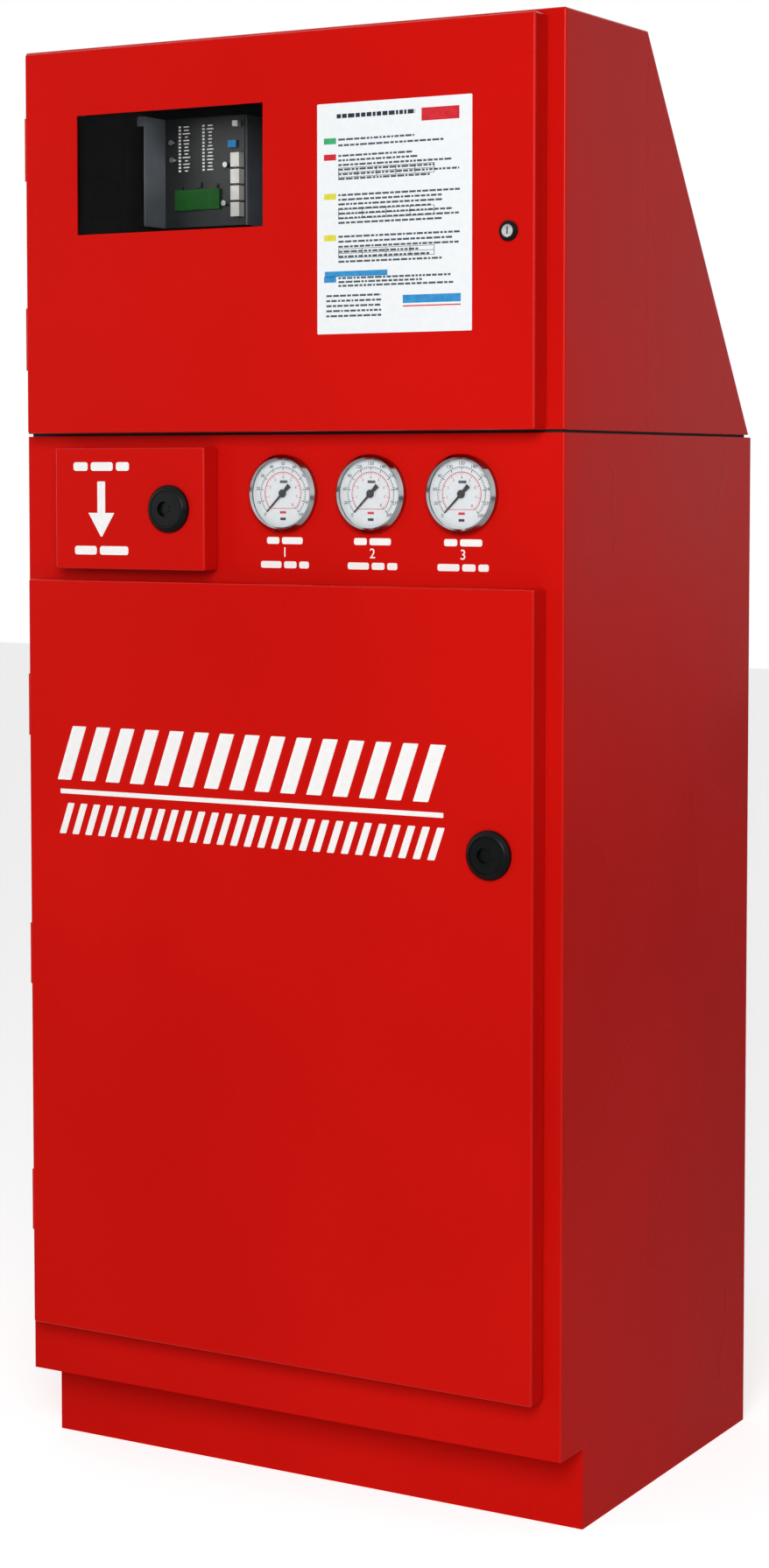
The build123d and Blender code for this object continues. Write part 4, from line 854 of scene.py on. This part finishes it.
chance = random.Random(SEED)
printed = text_row(chance, *HEAD_ROW, INK_DARK)
printed.append(on_sheet("head_block", *HEAD_BLOCK, INK_RED))
for top, bottom, tab, rows in SECTIONS:
    printed.append(on_sheet("tab", TAB_LEFT, TAB_RIGHT, top, top + TAB_HEIGHT, tab))
    for row in range(rows):
        row_top = top + (bottom - top) * row / rows + ROW_DROP
        right = chance.uniform(SHORTEST_ROW, LONGEST_ROW)
        printed += text_row(chance, TEXT_LEFT, right, row_top, ROW_HEIGHT, INK_GREY)
for top, columns in BOXES:
    for column in range(columns + 1):
        x = TEXT_LEFT + BOX_WIDTH * column / columns
        printed.append(on_sheet("ruling", x, x + RULING_ACROSS, top, top + BOX_HEIGHT, INK_GREY))
    for level in RULING_LEVELS:
        printed.append(on_sheet("ruling", TEXT_LEFT, BOX_END, top + level,
                                top + level + RULING_DOWN, INK_GREY))
for block, left, right, top, bottom, block_ink in FOOT_BLOCKS:
    printed.append(on_sheet(block, left, right, top, bottom, block_ink))
for row in range(NOTE_ROWS):
    printed += text_row(chance, NOTE_LEFT, NOTE_RIGHT, NOTE_TOP + NOTE_PITCH * row, ROW_HEIGHT,
                        INK_GREY)
join(printed, "sheet_print", "control_door")

# %% [markdown]
# Behind the window the board carries small parts: two columns of white marks and
# pads, chips, round cans, a blue tag and a white plug. They are slabs and plain
# cylinders that stand on the board's face, placed by their shares of the board.

# %% Parts on the control board
board_low, board_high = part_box("release_board")
board_y = board_low.y
board_width = board_high.x - board_low.x
board_height = board_high.z - board_low.z
CHIP = FINISHES["coil_black"]
MARK_COLUMNS = 2
MARK_ROWS = 14
FIRST_COLUMN = 0.24
COLUMN_PITCH = 0.3
FIRST_ROW = 0.52
ROW_PITCH = 0.031
MARK_OFFSET = 0.03
MARK_DEPTH = 0.0003
MARK_HEIGHT = 0.0014
SHORTEST_MARK = 0.004
LONGEST_MARK = 0.012
PAD_OFFSET = 0.05
PAD_SIZE = (0.003, 0.0012, 0.0022)
CHIP_PLACES = ((0.18, 0.35), (0.42, 0.38), (0.62, 0.36))
CHIP_SIZE = (0.012, 0.003, 0.007)
CAN_PLACES = ((0.12, 0.78), (0.13, 0.62), (0.8, 0.55), (0.78, 0.2))
CAN_RADIUS = 0.0035
CAN_DEPTH = 0.009
CAN_SIDES = 20
SMALL_CORNER = 0.0003
BLOCK_CORNER = 0.0006
TAG_PLACE = (0.86, 0.74)
TAG_SIZE = (0.012, 0.004, 0.009)
PLUG_PLACE = (0.92, 0.92)
PLUG_SIZE = (0.008, 0.008, 0.007)


def on_board(name, across, up, size, corner, material):
    """Part on the board: its centre by share of the board, its size in metres."""
    x = board_low.x + board_width * across
    z = board_low.z + board_height * up
    return slab(name, (x, board_y - size[1] / 2, z), size, corner, material)


board_parts = []
for column in range(MARK_COLUMNS):
    for row in range(MARK_ROWS):
        across = FIRST_COLUMN + COLUMN_PITCH * column
        up = FIRST_ROW + ROW_PITCH * row
        mark_size = (chance.uniform(SHORTEST_MARK, LONGEST_MARK), MARK_DEPTH, MARK_HEIGHT)
        board_parts.append(on_board("silk", across + MARK_OFFSET, up, mark_size, 0, PRINT_WHITE))
        board_parts.append(on_board("pad", across - PAD_OFFSET, up, PAD_SIZE, 0, PRINT_WHITE))
for across, up in CHIP_PLACES:
    board_parts.append(on_board("chip", across, up, CHIP_SIZE, SMALL_CORNER, CHIP))
for across, up in CAN_PLACES:
    deselect()
    bpy.ops.mesh.primitive_cylinder_add(vertices=CAN_SIDES, radius=CAN_RADIUS, depth=CAN_DEPTH,
                                        rotation=(math.radians(90), 0, 0))
    can = bpy.context.object
    bpy.ops.object.transform_apply(location=True, rotation=True, scale=True)
    can.data.transform(Matrix.Translation((board_low.x + board_width * across,
                                           board_y - CAN_DEPTH / 2,
                                           board_low.z + board_height * up)))
    can.data.materials.append(FINISHES["polished_steel"])
    board_parts.append(can)
board_parts.append(on_board("tag_blue", *TAG_PLACE, TAG_SIZE, BLOCK_CORNER, INK_BLUE))
board_parts.append(on_board("plug_white", *PLUG_PLACE, PLUG_SIZE, BLOCK_CORNER,
                            FINISHES["terminal_white"]))
join(board_parts, "board_parts", "cabinet")

# %% [markdown]
# The studio: a pale floor and a white world. Camera, glossy and transmission rays see
# plain white, so metal and glass show the same background as the picture, while the
# light that falls on the object stays at a plain level. The floor glows a little for
# the camera alone and keeps the object's shadow.

# %% Floor and world
FLOOR_SIZE = 30.0
FLOOR_WHITE = "#F4F4F4"
FLOOR_GLOW = 0.6
WORLD_LIGHT = 0.2
PURE_WHITE = (1, 1, 1, 1)
deselect()
bpy.ops.mesh.primitive_plane_add(size=FLOOR_SIZE)
floor = bpy.context.object
floor.name = "studio_floor"
floor_finish, floor_tree, floor_shader = new_finish("studio_floor", 0.9)
floor_shader.inputs["Base Color"].default_value = linear(FLOOR_WHITE)
path = add_node(floor_tree, "ShaderNodeLightPath")
glow = add_node(floor_tree, "ShaderNodeEmission", {"Color": PURE_WHITE, "Strength": FLOOR_GLOW})
lit = add_node(floor_tree, "ShaderNodeAddShader",
               {0: floor_shader.outputs["BSDF"], 1: glow.outputs["Emission"]})
seen = add_node(floor_tree, "ShaderNodeMixShader",
                {0: path.outputs["Is Camera Ray"], 1: floor_shader.outputs["BSDF"],
                 2: lit.outputs["Shader"]})
floor_output = floor_tree.nodes["Material Output"]
floor_tree.links.new(seen.outputs["Shader"], floor_output.inputs["Surface"])
floor.data.materials.append(floor_finish)

world = bpy.data.worlds.new("studio")
bpy.context.scene.world = world
world.use_nodes = True
sky = world.node_tree
sky.nodes.clear()
rays = add_node(sky, "ShaderNodeLightPath")
glossy_too = add_node(sky, "ShaderNodeMath",
                      {0: rays.outputs["Is Camera Ray"], 1: rays.outputs["Is Glossy Ray"]},
                      operation="MAXIMUM")
clear_too = add_node(sky, "ShaderNodeMath",
                     {0: glossy_too.outputs["Value"], 1: rays.outputs["Is Transmission Ray"]},
                     operation="MAXIMUM")
level = add_node(sky, "ShaderNodeMapRange",
                 {"Value": clear_too.outputs["Value"], "To Min": WORLD_LIGHT, "To Max": 1.0})
backdrop = add_node(sky, "ShaderNodeBackground",
                    {"Color": PURE_WHITE, "Strength": level.outputs["Result"]})
add_node(sky, "ShaderNodeOutputWorld", {"Surface": backdrop.outputs["Background"]})
print("world light", WORLD_LIGHT)

# %% [markdown]
# Soft lamps: the large one stands beside the camera, so the doors throw no shadow to
# the right and the side panel gets about half of the light. A weaker one at the left
# fills the recesses. A small panel behind the control door, which faces inwards,
# lights the board as its lit display does.

# %% Lamps
CABINET_MIDDLE = Vector((0, 0, 0.95))
BOARD_LAMP_OFFSET = Vector((0, -0.072, 0.02))
board_middle = (Vector(board_low) + Vector(board_high)) / 2
LAMPS = (
    # name, place, side in metres, watts, point that it faces
    ("key_lamp", Vector((1.9, -4.1, 2.7)), 2.2, 142, CABINET_MIDDLE),
    ("fill_lamp", Vector((-3.4, -3.2, 1.6)), 2.0, 22, CABINET_MIDDLE),
    ("board_lamp", board_middle + BOARD_LAMP_OFFSET, 0.1, 0.035, board_middle),
)


def softbox(name, place, size, power, aim):
    """Square area lamp that faces a point."""
    bpy.ops.object.light_add(type="AREA", location=place)
    lamp = bpy.context.object
    lamp.name = name
    lamp.data.size = size
    lamp.data.energy = power
    lamp.rotation_euler = (aim - place).to_track_quat("-Z", "Y").to_euler()


for lamp_settings in LAMPS:
    softbox(*lamp_settings)
print("lamps", len(LAMPS))
